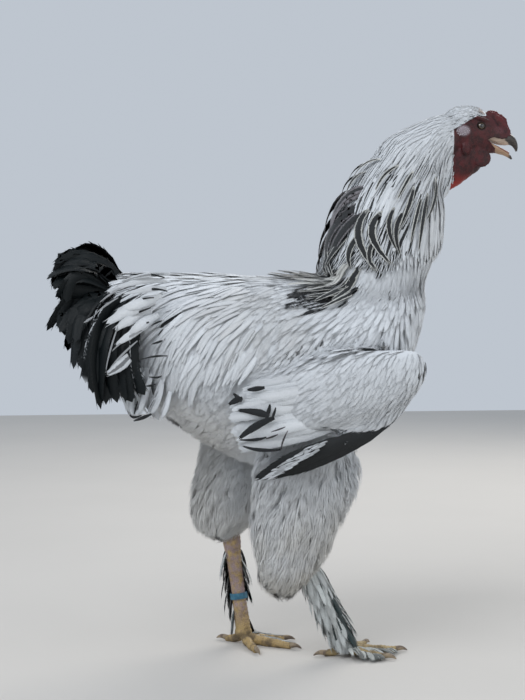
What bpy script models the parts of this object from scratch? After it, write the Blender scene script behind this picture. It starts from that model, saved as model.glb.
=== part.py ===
import math
import random

import bmesh
import bpy
from mathutils import Matrix, Vector

# A standing brahma cock, 0.70 m from the ground to the crown, in metres. It faces +X, its right side is -Y,
# and its toes rest on small flats at z = 0.
GAP = 0.0003  # between neighbouring pieces
VANE = 0.0009  # thickness of a feather
ACROSS = Vector((0.0, 1.0, 0.0))

# Finishes
WHITE = (0.78, 0.80, 0.82)
BLACK = (0.015, 0.020, 0.022)
RED = (0.20, 0.022, 0.020)
HORN = (0.62, 0.48, 0.26)
SKIN = (0.62, 0.42, 0.16)
IRIS = (0.30, 0.10, 0.03)
BAND_BLUE = (0.03, 0.12, 0.22)
SIDES = (("r", -1), ("l", 1))

# Driving sizes
RUMP_CUT_X = -0.030  # where the saddle meets the front of the body
SHANK_R = 0.0088
TOE_R = 0.0062
EYE_R = 0.0062
EYE = Vector((0.2425, 0.0145, 0.6680))
LID_RADII = (0.0090, 0.0040, 0.0078)
LID_OUT = 0.0014
BEAK_ROOT_X = 0.270
CROWN = Vector((0.2270, 0.0, 0.6790))
CROWN_RADII = (0.0290, 0.0190, 0.0185)
NOSTRIL = Vector((0.2790, 0.0066, 0.6555))
MOUTH_CORNER = Vector((0.2530, 0.0, 0.6505))
GAPE_HIGH = 0.28  # fall of the upper and the lower edge of the open mouth
GAPE_LOW = 0.51
MOUTH_SLIT = 0.0004  # half the height of the mouth at its corner
NOSTRIL_RADII = (0.0026, 0.0016, 0.0009)
# Distance from the corner of the mouth, half-width and half-thickness of the tongue
TONGUE = ((0.011, 0.0030, 0.0008), (0.018, 0.0036, 0.0010), (0.026, 0.0028, 0.0009), (0.032, 0.0010, 0.0006))
WATTLE = Vector((0.2440, 0.0135, 0.6290))
WATTLE_RADII = (0.0130, 0.0030, 0.0150)
EARLOBE = Vector((0.2225, 0.0200, 0.6400))
EARLOBE_RADII = (0.0065, 0.0040, 0.0100)

# Rows hold the centre of a section, then its half-width across and its half-depth.
TORSO = [
    (-0.218, 0.0, 0.406, 0.028, 0.044),
    (-0.190, 0.0, 0.402, 0.058, 0.078),
    (-0.150, 0.0, 0.390, 0.085, 0.094),
    (-0.100, 0.0, 0.374, 0.104, 0.110),
    (-0.040, 0.0, 0.360, 0.116, 0.124),
    (0.020, 0.0, 0.356, 0.120, 0.127),
    (0.070, 0.0, 0.368, 0.118, 0.114),
    (0.105, 0.0, 0.387, 0.108, 0.097),
    (0.135, 0.0, 0.411, 0.088, 0.075),
    (0.155, 0.0, 0.430, 0.062, 0.050),
    (0.167, 0.0, 0.440, 0.034, 0.027),
    (0.171, 0.0, 0.444, 0.010, 0.008),
]
NECK = [
    (0.094, 0.0, 0.430, 0.078, 0.066),
    (0.108, 0.0, 0.485, 0.076, 0.070),
    (0.124, 0.0, 0.530, 0.066, 0.074),
    (0.137, 0.0, 0.575, 0.055, 0.068),
    (0.152, 0.0, 0.613, 0.045, 0.053),
    (0.180, 0.0, 0.641, 0.034, 0.042),
    (0.206, 0.0, 0.656, 0.027, 0.036),
    (0.218, 0.0, 0.661, 0.023, 0.032),
]
HEAD = [
    (0.207, 0.0, 0.656, 0.017, 0.021),
    (0.219, 0.0, 0.658, 0.0225, 0.0315),
    (0.236, 0.0, 0.6595, 0.0215, 0.0315),
    (0.250, 0.0, 0.659, 0.0185, 0.0290),
    (0.262, 0.0, 0.6555, 0.0145, 0.0215),
    (0.278, 0.0, 0.650, 0.0105, 0.0150),
]
THROAT = [
    (0.193, 0.0, 0.584, 0.0050, 0.0040),
    (0.206, 0.0, 0.606, 0.0140, 0.0180),
    (0.220, 0.0, 0.629, 0.0180, 0.0280),
    (0.238, 0.0, 0.646, 0.0170, 0.0240),
    (0.254, 0.0, 0.650, 0.0130, 0.0130),
]
THIGH = {
    "r": [
        (0.014, -0.056, 0.290, 0.044, 0.060),
        (0.014, -0.056, 0.240, 0.052, 0.074),
        (0.002, -0.056, 0.195, 0.051, 0.066),
        (-0.006, -0.055, 0.155, 0.044, 0.059),
        (-0.014, -0.054, 0.120, 0.033, 0.046),
        (-0.026, -0.052, 0.092, 0.019, 0.028),
    ],
    "l": [
        (-0.040, 0.056, 0.290, 0.044, 0.062),
        (-0.052, 0.057, 0.245, 0.052, 0.068),
        (-0.066, 0.057, 0.205, 0.049, 0.060),
        (-0.082, 0.055, 0.172, 0.040, 0.052),
        (-0.090, 0.052, 0.146, 0.027, 0.034),
    ],
}
HOCK = {"r": Vector((0.010, -0.051, 0.128)), "l": Vector((-0.070, 0.050, 0.134))}
ANKLE = {"r": Vector((0.064, -0.037, 0.0170)), "l": Vector((-0.056, 0.036, 0.0170))}
TOE_HEADING = {"r": 4.0, "l": -32.0}  # degrees to the bird's left of straight ahead
# Degrees outward from the middle toe, length to the root of the claw, and thickness
TOES = {
    "middle": (0.0, 0.068, 1.0),
    "inner": (-46.0, 0.052, 0.92),
    "outer": (34.0, 0.054, 0.90),
    "hind": (176.0, 0.026, 0.85),
}
WING = [
    (0.148, 0.116, 0.366, 0.013, 0.016),
    (0.134, 0.119, 0.362, 0.021, 0.032),
    (0.100, 0.122, 0.351, 0.025, 0.045),
    (0.050, 0.122, 0.342, 0.026, 0.051),
    (0.000, 0.118, 0.332, 0.023, 0.050),
    (-0.045, 0.109, 0.320, 0.015, 0.040),
    (-0.070, 0.103, 0.305, 0.006, 0.022),
]
TAIL = [
    (-0.186, 0.0, 0.432, 0.046, 0.050),
    (-0.214, 0.0, 0.436, 0.042, 0.046),
    (-0.238, 0.0, 0.438, 0.028, 0.034),
    (-0.256, 0.0, 0.438, 0.008, 0.010),
]
UPPER_BEAK = [
    (BEAK_ROOT_X + GAP, 0.0, 0.6560, 0.0100, 0.0105),
    (0.2800, 0.0, 0.6535, 0.0080, 0.0086),
    (0.2890, 0.0, 0.6480, 0.0050, 0.0062),
    (0.2955, 0.0, 0.6405, 0.0026, 0.0038),
    (0.2972, 0.0, 0.6350, 0.0008, 0.0014),
]
LOWER_BEAK = [
    (BEAK_ROOT_X + GAP, 0.0, 0.6400, 0.0080, 0.0050),
    (0.278, 0.0, 0.6365, 0.0062, 0.0038),
    (0.285, 0.0, 0.6325, 0.0040, 0.0026),
    (0.2895, 0.0, 0.6295, 0.0014, 0.0010),
]
HAND = [
    (0.128, 0.116, 0.336, 0.008, 0.012),
    (0.104, 0.119, 0.313, 0.011, 0.017),
    (0.074, 0.120, 0.298, 0.011, 0.017),
    (0.042, 0.119, 0.286, 0.008, 0.014),
    (0.020, 0.118, 0.279, 0.003, 0.006),
]
# Place along the shank from hock to ankle, then its width and depth against SHANK_R
SHANK = ((-0.16, 0.7, 0.9), (0.0, 1.1, 1.35), (0.2, 1.0, 1.1), (0.6, 0.95, 1.0), (0.93, 1.15, 1.1))
# Place along the toe, height and girth; then reach, height and half-width of the claw
TOE = ((0.0, 0.0110, 1.1), (0.3, 0.0066, 1.05), (0.65, 0.0045, 0.95), (0.97, 0.0036, 0.72))
CLAW = ((-0.004, 0.0042, 0.0034), (0.004, 0.0054, 0.0030), (0.010, 0.0046, 0.0019), (0.0145, 0.0022, 0.0006))
FOOT_RADII = (0.011, 0.011, 0.0095)
FOOT_FEATHERS = (("outer", (0.2, 0.5, 0.8)), ("middle", (0.45,)))
BAND_PLACE = 0.62
BAND_R = 0.0112
BAND_HALF = 0.004
COMB_LOW = Vector((0.2790, 0.0, 0.6655))
COMB_HIGH = Vector((0.2530, 0.0, 0.6925))
COMB_R = 0.0050
COMB_RIDGE = ((-0.12, 0.3), (0.1, 1.0), (0.5, 1.15), (0.9, 1.0), (1.12, 0.3))  # place and relative girth
COMB_BEADS = ((5, 0.0, 0.0052), (2, 0.0052, 0.0038), (2, -0.0052, 0.0038))  # beads, distance aside, radius
QUILL = 0.0010  # thickness of the large feathers

# Feathers that spread between two lines. The roots and the tips are given as points on these lines, for the
# left side.
FANS = {
    "secondaries": {
        "count": 5,
        "roots": ((0.030, 0.121, 0.296), (0.012, 0.125, 0.348)),
        "tips": ((-0.074, 0.104, 0.270), (-0.086, 0.107, 0.303), (-0.074, 0.110, 0.336)),
        "facing": (-0.06, 1.0, -0.10),
        "half": 0.0115,
        "bow": 0.007,
        "blunt": 0.6,
    },
    "primaries": {
        "count": 6,
        "roots": ((0.088, 0.119, 0.302), (0.044, 0.121, 0.286)),
        "tips": ((-0.030, 0.108, 0.2325), (-0.0555, 0.110, 0.2385), (-0.066, 0.112, 0.2495)),
        "facing": (-0.05, 1.0, 0.08),
        "half": 0.0085,
        "bow": 0.006,
        "blunt": 0.4,
    },
    "tail feathers": {
        "count": 4,
        "roots": ((-0.218, 0.012, 0.460), (-0.218, 0.012, 0.426)),
        "tips": ((-0.285, 0.018, 0.500), (-0.287, 0.027, 0.453), (-0.293, 0.036, 0.406)),
        "facing": (0.25, 1.0, 0.45),
        "half": 0.0110,
        "bow": 0.010,
        "blunt": 0.5,
    },
    "tail coverts": {
        "count": 5,
        "roots": ((-0.222, 0.018, 0.462), (-0.212, 0.026, 0.432)),
        "tips": ((-0.264, 0.038, 0.412), (-0.230, 0.060, 0.324)),
        "facing": (-0.75, 0.75, 0.35),
        "half": 0.0110,
        "bow": 0.014,
        "blunt": 0.5,
    },
    "side coverts": {
        "count": 3,
        "roots": ((-0.214, 0.030, 0.450), (-0.214, 0.030, 0.436)),
        "tips": ((-0.238, 0.060, 0.392), (-0.204, 0.072, 0.348)),
        "facing": (-0.5, 1.0, 0.3),
        "half": 0.0115,
        "bow": 0.014,
        "blunt": 0.5,
    },
}
LIFT = (0.0036, 0.0054)  # every other feather of a tier lies over its neighbours
SHANK_TIERS = {"r": (0.66, 0.82), "l": (0.24, 0.68)}
SHANK_FEATHER = (0.036, 0.0080)
THIGH_TIERS = ((0.46, 7, 0.055), (0.24, 6, 0.050))
THIGH_HALF = 0.0165
WING_COVERTS = ((0.66, 4, 0.070), (0.44, 3, 0.062))  # place along the wing, feathers, length
COVERT_HALF = 0.0150
CAPE = 5
CAPE_PLACE = 0.565
CAPE_LENGTH = 0.112
CAPE_HALF = 0.0150
SADDLE_HALF = 0.0115
UNDER_LIFT = 0.010  # how much further the feathers under the tail stand off
# Place along the form, feathers in the tier, their length and half-width
HACKLE_TIERS = (
    (0.93, 8, 0.060, 0.0095),
    (0.76, 9, 0.078, 0.0118),
    (0.58, 10, 0.094, 0.0132),
    (0.40, 11, 0.112, 0.0142),
)
# Place along the body, feathers a side, their length, and the angles they spread over
SADDLE_TIERS = (
    (0.345, 4, 0.090, 0.12, 1.60),
    (0.260, 3, 0.088, 0.30, 1.75),
    (0.175, 3, 0.080, 0.15, 1.60),
    (0.230, 2, 0.088, 2.20, 2.80),
)


def spline(rows, u):
    # A row of numbers at u from 0 to 1, on a smooth curve through the rows
    place = min(max(u, 0.0), 1.0) * (len(rows) - 1)
    k = min(int(place), len(rows) - 2)
    t = place - k
    before, first, second, after = (rows[min(max(k + d, 0), len(rows) - 1)] for d in (-1, 0, 1, 2))
    return [
        0.5 * (2 * b + (c - a) * t + (2 * a - 5 * b + 4 * c - d) * t**2 + (3 * b - a - 3 * c + d) * t**3)
        for a, b, c, d in zip(before, first, second, after)
    ]


def section(rows, u):
    # Centre, axis across and axis up of the section at u, both axes as long as its half sizes. A long
    # level form has upright sections.
    here = spline(rows, u)
    ahead, behind = (Vector(spline(rows, min(max(u + d, 0.0), 1.0))[:3]) for d in (0.02, -0.02))
    if abs(rows[-1][0] - rows[0][0]) > 0.15:
        ahead.yz = behind.yz
    along = (ahead - behind).normalized()
    across = (ACROSS - along * ACROSS.dot(along)).normalized()
    return Vector(here[:3]), across * here[3], along.cross(across) * here[4]


def surface(rows, u, angle, lift=0.0):
    # A point on the form, lifted off it, and the way it faces. The angle runs from the back, towards +Y.
    def point(v, a):
        centre, across, up = section(rows, v)
        return centre + across * math.sin(a) + up * math.cos(a)

    here = point(u, angle)
    low, high = max(u - 0.01, 0.0), min(u + 0.01, 1.0)
    along = point(high, angle) - point(low, angle)
    around = point(u, angle + 0.02) - point(u, angle - 0.02)
    facing = around.cross(along).normalized()
    if facing.dot(here - section(rows, u)[0]) < 0:
        facing.negate()
    return here + facing * lift, facing


def closed(bm, name):
    # An object from a closed shell, facing out
    bmesh.ops.recalc_face_normals(bm, faces=bm.faces[:])
    if bm.calc_volume(signed=True) < 0:
        bmesh.ops.reverse_faces(bm, faces=bm.faces[:])
    mesh = bpy.data.meshes.new(name)
    bm.to_mesh(mesh)
    bm.free()
    obj = bpy.data.objects.new(name, mesh)
    bpy.context.collection.objects.link(obj)
    return obj


def form(rows, rings, sides, grow=0.0):
    # A rounded body through the rows, in triangles that lie alike however much it is grown
    bm = bmesh.new()
    angles = [2 * math.pi * k / sides for k in range(sides)]
    loop = []
    for step in range(rings):
        centre, across, up = section(rows, step / (rings - 1))
        centre += across.cross(up).normalized() * (grow * ((step == rings - 1) - (step == 0)))
        across += across.normalized() * grow
        up += up.normalized() * grow
        places = [centre + across * math.sin(a) + up * math.cos(a) for a in angles]
        new = [bm.verts.new(p) for p in places]
        for k in range(sides if loop else 0):
            bm.faces.new((loop[k], loop[(k + 1) % sides], new[(k + 1) % sides]))
            bm.faces.new((loop[k], new[(k + 1) % sides], new[k]))
        if not loop:
            bmesh.ops.poke(bm, faces=[bm.faces.new(new)])
        loop = new
    bmesh.ops.poke(bm, faces=[bm.faces.new(loop)])
    return closed(bm, "form")


def ball(centre, radii, turn=Matrix(), segments=10, rings=6, grow=0.0):
    # An ellipsoid
    bm = bmesh.new()
    bmesh.ops.create_uvsphere(bm, u_segments=segments, v_segments=rings, radius=1.0)
    size = Matrix.Diagonal([r + grow for r in radii] + [1.0])
    bmesh.ops.transform(bm, matrix=Matrix.Translation(centre) @ turn.to_4x4() @ size, verts=bm.verts[:])
    return closed(bm, "ball")


def box(low, high, turn=Matrix(), about=Vector()):
    # A block between two corners, turned about a point
    bm = bmesh.new()
    bmesh.ops.create_cube(bm, size=1.0)
    low, high = Vector(low), Vector(high)
    place = Matrix.Translation((low + high) / 2) @ Matrix.Diagonal([*(high - low), 1.0])
    swing = Matrix.Translation(about) @ turn.to_4x4() @ Matrix.Translation(-about)
    bmesh.ops.transform(bm, matrix=swing @ place, verts=bm.verts[:])
    return closed(bm, "box")


def fuse(name, pieces, cutters=(), colour=WHITE, roughness=0.8):
    # One closed body from overlapping pieces, less the cutters
    base = pieces[0]
    base.name = name
    for group, operation in ((pieces[1:], "UNION"), (list(cutters), "DIFFERENCE")):
        if not group:
            continue
        shelf = bpy.data.collections.new(name + "_" + operation.lower())
        bpy.context.scene.collection.children.link(shelf)
        for piece in group:
            for old in piece.users_collection:
                old.objects.unlink(piece)
            shelf.objects.link(piece)
        join = base.modifiers.new(operation.title(), "BOOLEAN")
        join.operation = operation
        join.operand_type = "COLLECTION"
        join.collection = shelf
        bpy.context.view_layer.update()
        graph = bpy.context.evaluated_depsgraph_get()
        mesh = bpy.data.meshes.new_from_object(base.evaluated_get(graph))
        base.modifiers.clear()
        base.data = mesh
        for piece in group:
            bpy.data.objects.remove(piece)
        bpy.data.collections.remove(shelf)
    keep_largest(base)
    finish(base, colour, roughness)
    return base


def keep_largest(obj):
    # Drops the scraps that a cut leaves loose
    bm = bmesh.new()
    bm.from_mesh(obj.data)
    unseen = set(bm.faces)
    shells = []
    while unseen:
        front = [unseen.pop()]
        shell = []
        while front:
            face = front.pop()
            shell.append(face)
            for edge in face.edges:
                for other in edge.link_faces:
                    if other in unseen:
                        unseen.remove(other)
                        front.append(other)
        shells.append((shell_volume(shell), len(shells), shell))
    scraps = sorted(shells)[:-1]
    bmesh.ops.delete(bm, geom=[face for _, _, shell in scraps for face in shell], context="FACES")
    bm.to_mesh(obj.data)
    bm.free()


def shell_volume(faces):
    # The volume inside a closed set of faces
    total = 0.0
    for face in faces:
        corners = [v.co for v in face.verts]
        for second, third in zip(corners[1:], corners[2:]):
            total += corners[0].dot(second.cross(third)) / 6
    return abs(total)


def finish(obj, colour, roughness):
    # Material and shading of one object
    material = bpy.data.materials.get(obj.name) or bpy.data.materials.new(obj.name)
    material.use_nodes = True
    shader = material.node_tree.nodes["Principled BSDF"]
    shader.inputs["Base Color"].default_value = (*colour, 1.0)
    shader.inputs["Roughness"].default_value = roughness
    obj.data.materials.clear()
    obj.data.materials.append(material)
    obj.data.shade_smooth()
    obj.data.set_sharp_from_angle(angle=math.radians(40))


def vane(spine, facings, halves, thickness=VANE, grow=0.0):
    # A feather: a thin blade along its spine, its two faces split into triangles alike
    bm = bmesh.new()
    rings = []
    last = len(spine) - 1
    for k, (spot, facing, half) in enumerate(zip(spine, facings, halves)):
        along = (spine[min(k + 1, last)] - spine[max(k - 1, 0)]).normalized()
        across = along.cross(facing).normalized()
        out = across.cross(along)
        spot = spot + along * (grow * ((k == last) - (k == 0)))
        side = across * (half + grow)
        face = out * (thickness / 2 + grow)
        corners = (face - side, face + side, side - face, -face - side)
        rings.append([bm.verts.new(spot + corner) for corner in corners])
    for low, high in zip(rings, rings[1:]):
        for j in range(4):
            a, b, c, d = low[j], low[(j + 1) % 4], high[(j + 1) % 4], high[j]
            for three in ((a, b, c), (a, c, d)) if j < 2 else ((a, b, d), (b, c, d)):
                bm.faces.new(three)
    for end in (rings[0], rings[-1]):
        bm.faces.new(end[:3])
        bm.faces.new((end[0], end[2], end[3]))
    return closed(bm, "vane")


def blade(root, tip, facing, half, bow, steps, thickness, blunt, grow):
    # A feather from root to tip, bowed out along its facing, widest past its middle
    spine, facings, halves = [], [], []
    chord = tip - root
    side = chord.cross(facing).normalized()
    out = side.cross(chord).normalized()
    for k in range(steps):
        t = k / (steps - 1)
        spine.append(root + chord * t + out * (bow * 4 * t * (1 - t)))
        slope = bow * 4 * (1 - 2 * t) / chord.length
        facings.append((out - chord.normalized() * slope).normalized())
        halves.append(half * breadth(t, blunt))
    return vane(spine, facings, halves, thickness, grow)


def breadth(t, blunt):
    # The outline of a feather: narrow at the quill, full past the middle, and its tip blunt or pointed
    return min(0.45 + 1.1 * t, 1.0) if t < 0.7 else blunt + (1.0 - blunt) * (1 - ((t - 0.7) / 0.3) ** 2)


def clear_of(rows, spot, clearance):
    # A point moved straight out until it clears a lengthwise form, and the way out there
    low, high = 0.0, 1.0
    rising = rows[-1][0] > rows[0][0]
    for _ in range(14):
        middle = (low + high) / 2
        if (spline(rows, middle)[0] < spot.x) == rising:
            low = middle
        else:
            high = middle
    here = spline(rows, low)
    out = Vector((0.0, spot.y - here[1], spot.z - here[2]))
    reach = math.hypot(out.y / here[3], out.z / here[4])
    away = out.normalized()
    short = out.length / max(reach, 1e-6) + clearance - out.length
    ends = (spot.x < min(rows[0][0], rows[-1][0])) or (spot.x > max(rows[0][0], rows[-1][0]))
    if short > 0 and not ends:
        slant = Vector((0.0, out.y / here[3] ** 2, out.z / here[4] ** 2)).normalized()
        return spot + away * short, slant, True
    return spot, away, False


def lock(rows, u, angle, length, half, lift, over=None, steps=4, sway=0.0, blunt=0.3, sink=0.004, grow=0.0):
    # A feather that lies back along a form towards its first row, from a sunk root to a lifted tip
    start, facing = surface(rows, u, angle, -sink)
    run = sum((Vector(a[:3]) - Vector(b[:3])).length for a, b in zip(rows, rows[1:]))
    spine, facings, halves = [], [], []
    for k in range(steps):
        t = (k / (steps - 1)) ** 1.5
        v = u - length * t / run
        height = lift * (0.3 + 0.7 * t) if k else -sink
        turn = angle + sway * t
        if v >= 0.0:
            spot, facing = surface(rows, v, turn, height)
        else:
            edge, facing = surface(rows, 0.0, turn, height)
            inner, _ = surface(rows, 0.04, turn, height)
            spot = edge + (edge - inner).normalized() * (-v * run)
        if over and t > 0.0:
            spot, out, moved = clear_of(over, spot, 0.0012 + 0.002 * t)
            if moved:
                facing = (facing * 0.3 + out).normalized()
        spine.append(spot)
        facings.append(facing)
        halves.append(half * breadth(t, blunt))
    return vane(spine, facings, halves, grow=grow)


def fan(name, s, grow=0.0):
    # The feathers of one fan on one side
    sizes = FANS[name]
    facing = Vector(sizes["facing"])
    facing.y *= s
    feathers = []
    for k in range(sizes["count"]):
        ends = [Vector(spline(sizes[end], k / (sizes["count"] - 1))) for end in ("roots", "tips")]
        for end in ends:
            end.y *= s
        feathers.append(blade(*ends, facing, sizes["half"], sizes["bow"], 4, QUILL, sizes["blunt"], grow))
    return feathers


def side_rows(rows, s):
    return [(x, s * y, z, across, up) for x, y, z, across, up in rows]


def torso(grow=0.0):
    return form(TORSO, 15, 16, grow)


def rump(grow=0.0):
    # The rear half of the body with its saddle feathers, which fall to both sides of the tail
    chance = random.Random(3)
    pieces = [torso(grow)]
    for u, count, length, first, last in SADDLE_TIERS:
        for side in (-1, 1):
            for k in range(count):
                angle = first + (last - first) * k / (count - 1)
                long = length * chance.uniform(0.9, 1.15)
                sway = side * max(0.55 - 0.35 * angle, -0.3)
                lift = LIFT[k % 2] + (UNDER_LIFT if first > math.pi / 2 else 0.0)
                feather = lock(TORSO, u, side * angle, long, SADDLE_HALF, lift, sway=sway, steps=3, grow=grow)
                pieces.append(feather)
    return pieces


def make_torso():
    behind = box((-0.4, -0.3, 0.1), (RUMP_CUT_X, 0.3, 0.6))
    fuse("torso", [torso()], [behind], WHITE)


def make_rump():
    ahead = box((RUMP_CUT_X - GAP, -0.3, 0.1), (0.4, 0.3, 0.6))
    cutters = [ahead]
    for _, s in SIDES:
        cutters += wing(s, GAP)
    fuse("rump", rump(), cutters, WHITE)


def crown(grow=0.0):
    # The feathered cap that reaches forward to the comb
    return ball(CROWN, CROWN_RADII, segments=14, rings=8, grow=grow)


def neck(grow=0.0):
    # The neck with its hackle, tier over tier from the head down onto the shoulders
    chance = random.Random(5)
    pieces = [form(NECK, 10, 12, grow), crown(grow)]
    for k in range(CAPE):
        angle = 0.27 * (k - (CAPE - 1) / 2)
        long = CAPE_LENGTH * (chance.uniform(0.9, 1.1) - 0.9 * angle**2)
        size = (long, CAPE_HALF, LIFT[k % 2])
        pieces.append(lock(TORSO, CAPE_PLACE, angle, *size, sink=-0.0018, blunt=0.15, grow=grow))
    for tier, (u, count, length, half) in enumerate(HACKLE_TIERS):
        for k in range(count):
            angle = 2 * math.pi * (k + 0.5 * (tier % 2)) / count
            if u > 0.8 and abs(angle - math.pi) < 0.9:
                continue
            long = length * chance.uniform(0.88, 1.12) * (1.0 - 0.22 * (0.5 - 0.5 * math.cos(angle)))
            sway = 0.10 * chance.uniform(-1, 1)
            pieces.append(lock(NECK, u, angle, long, half, LIFT[k % 2], TORSO, 4, sway, 0.15, 0.0055, grow))
    return pieces


def make_neck():
    lobes = [make(s, GAP) for _, s in SIDES for make in (wattle, earlobe)]
    fuse("neck", neck(), [torso(GAP), *head_pieces(GAP), *lobes], WHITE)


def head_pieces(grow=0.0):
    # The skull and throat, with a raised lid ring around each eye
    pieces = [form(HEAD, 11, 12, grow), form(THROAT, 8, 10, grow)]
    for _, s in SIDES:
        lids = Vector((EYE.x, s * (EYE.y + LID_OUT), EYE.z))
        pieces.append(ball(lids, LID_RADII, segments=8, rings=6, grow=grow))
    return pieces


def make_head():
    front = box((BEAK_ROOT_X, -0.05, 0.5), (0.4, 0.05, 0.75))
    fuse("head", head_pieces(), [front, *(eye(s, GAP) for _, s in SIDES), gape()], RED, 0.5)
    for side, s in SIDES:
        fuse("eye_" + side, [eye(s)], colour=IRIS, roughness=0.05)


def eye(s, grow=0.0):
    return ball(Vector((EYE.x, s * EYE.y, EYE.z)), [EYE_R] * 3, segments=12, rings=6, grow=grow)


def gape():
    # The wedge of the open mouth, from its corner forwards
    bm = bmesh.new()
    for y in (-0.03, 0.03):
        for reach in (0.0, 0.06):
            for rise in (MOUTH_SLIT - reach * GAPE_HIGH, -MOUTH_SLIT - reach * GAPE_LOW):
                bm.verts.new(MOUTH_CORNER + Vector((reach, y, rise)))
    bmesh.ops.convex_hull(bm, input=bm.verts[:])
    return closed(bm, "gape")


def make_beak():
    rear = [(BEAK_ROOT_X - 0.06, -0.05, 0.5), (BEAK_ROOT_X + GAP, 0.05, 0.75)]
    nostrils = [ball(NOSTRIL * Vector((1, s, 1)), NOSTRIL_RADII, segments=8, rings=4) for _, s in SIDES]
    fuse("beak_upper", [form(UPPER_BEAK, 8, 10)], [gape(), box(*rear), *nostrils], HORN, 0.35)
    fuse("beak_lower", [form(LOWER_BEAK, 6, 9)], [gape(), box(*rear)], HORN, 0.35)
    rows = []
    for reach, half, thick in TONGUE:
        floor = MOUTH_CORNER.z - MOUTH_SLIT - reach * GAPE_LOW
        rows.append((MOUTH_CORNER.x + reach, 0.0, floor + 1.25 * thick + 2 * GAP, half, thick))
    fuse("tongue", [form(rows, 5, 6)], colour=RED, roughness=0.4)


def make_comb():
    # Three rows of small beads, the middle row the highest, from above the nostrils to the crown
    ridge = [(*COMB_LOW.lerp(COMB_HIGH, t), COMB_R * w, 0.64 * COMB_R * w) for t, w in COMB_RIDGE]
    beads = [form(ridge, 5, 8)]
    for count, offset, radius in COMB_BEADS:
        for k in range(count):
            t = (k + 0.5 * bool(offset)) / (count - (0 if offset else 1))
            centre = COMB_LOW.lerp(COMB_HIGH, t) + Vector((0.0, offset, -0.0016 * bool(offset)))
            beads.append(ball(centre, [radius, radius * 0.8, radius], segments=6, rings=4))
    fuse("comb", beads, [*head_pieces(GAP), crown(GAP), form(UPPER_BEAK, 8, 10, GAP)], RED, 0.5)


def wattle(s, grow=0.0):
    lean = Matrix.Rotation(s * math.radians(8), 3, "X") @ Matrix.Rotation(math.radians(-38), 3, "Y")
    return ball(WATTLE * Vector((1, s, 1)), WATTLE_RADII, lean, 12, 6, grow)


def earlobe(s, grow=0.0):
    return ball(EARLOBE * Vector((1, s, 1)), EARLOBE_RADII, grow=grow)


def make_wattles():
    for side, s in SIDES:
        fuse("wattle_" + side, [wattle(s)], head_pieces(GAP), RED, 0.5)
        fuse("earlobe_" + side, [earlobe(s)], head_pieces(GAP), RED, 0.5)


def wing(s, grow=0.0):
    # The folded arm with its coverts and the secondaries behind them
    rows = side_rows(WING, s)
    pieces = [form(rows, 12, 12, grow)]
    for tier, (u, count, length) in enumerate(WING_COVERTS):
        for k in range(count):
            angle = s * (0.55 + 0.60 * (k + 0.5 * tier))
            size = (length, COVERT_HALF, LIFT[k % 2])
            pieces.append(lock(rows[::-1], u, angle, *size, steps=3, sway=0.12 * s, blunt=0.5, grow=grow))
    return pieces + fan("secondaries", s, grow)


def primaries(s, grow=0.0):
    # The hand under the arm and its long flight feathers
    return [form(side_rows(HAND, s), 10, 10, grow), *fan("primaries", s, grow)]


def make_wings():
    for side, s in SIDES:
        fuse("wing_" + side, wing(s), [torso(GAP)], WHITE)
        fuse("primaries_" + side, primaries(s), [torso(GAP), *wing(s, GAP)], BLACK)


def tail(grow=0.0):
    # The short upright tail feathers in curling bunches, and the coverts that arch out and hang beside them
    pieces = [form(TAIL, 7, 10, grow)]
    for _, s in SIDES:
        for name in ("tail feathers", "tail coverts", "side coverts"):
            pieces += fan(name, s, grow)
    return pieces


def make_tail():
    fuse("tail", tail(), rump(GAP), BLACK)


def thigh(side, s, grow=0.0):
    # The feathered thigh and the loose tufts around its lower end
    chance = random.Random(11 if s < 0 else 13)
    rows = THIGH[side]
    pieces = [form(rows, 8, 10, grow)]
    for tier, (u, count, length) in enumerate(THIGH_TIERS):
        for k in range(count):
            angle = 2 * math.pi * (k + 0.5 * tier) / count
            size = (length * chance.uniform(0.8, 1.25), THIGH_HALF, LIFT[k % 2])
            pieces.append(lock(rows[::-1], u, angle, *size, blunt=0.35, steps=3, grow=grow))
    return pieces


def make_legs():
    for side, s in SIDES:
        cutters = [torso(GAP), *wing(s, GAP), *primaries(s, GAP)]
        if s > 0:
            cutters += thigh("r", -1, GAP)
        fuse("thigh_" + side, thigh(side, s), cutters, WHITE)
        fuse("shank_" + side, shank(side, s), thigh(side, s, GAP), SKIN, 0.6)
        below = box((-0.3, -0.3, -0.05), (0.3, 0.3, 0.0))
        fuse("foot_" + side, foot(side, s), [below, *shank(side, s, GAP), *thigh(side, s, GAP)], SKIN, 0.6)
        for name in TOES:
            fuse("claw_" + name + "_" + side, [claw(side, s, name)], foot(side, s, GAP), HORN, 0.4)
    middle = HOCK["l"].lerp(ANKLE["l"], BAND_PLACE)
    way = (ANKLE["l"] - HOCK["l"]).normalized()
    ring = [(*(middle + way * reach), BAND_R, BAND_R) for reach in (-BAND_HALF, BAND_HALF)]
    fuse("leg_band", [tube(ring, 14)], [form(shank_rows("l"), 7, 10, GAP)], BAND_BLUE, 0.4)


def tube(rows, sides):
    # A short cylinder with flat ends
    bm = bmesh.new()
    rings = []
    for k in range(len(rows)):
        centre, across, up = section(rows, k / (len(rows) - 1))
        angles = [2 * math.pi * j / sides for j in range(sides)]
        rings.append([bm.verts.new(centre + across * math.sin(a) + up * math.cos(a)) for a in angles])
    for low, high in zip(rings, rings[1:]):
        for j in range(sides):
            bm.faces.new((low[j], low[(j + 1) % sides], high[(j + 1) % sides], high[j]))
    bm.faces.new(rings[0])
    bm.faces.new(rings[-1])
    return closed(bm, "tube")


def shank_rows(side):
    top, foot_root = HOCK[side], ANKLE[side]
    return [(*top.lerp(foot_root, t), SHANK_R * wide, SHANK_R * deep) for t, wide, deep in SHANK]


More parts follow.
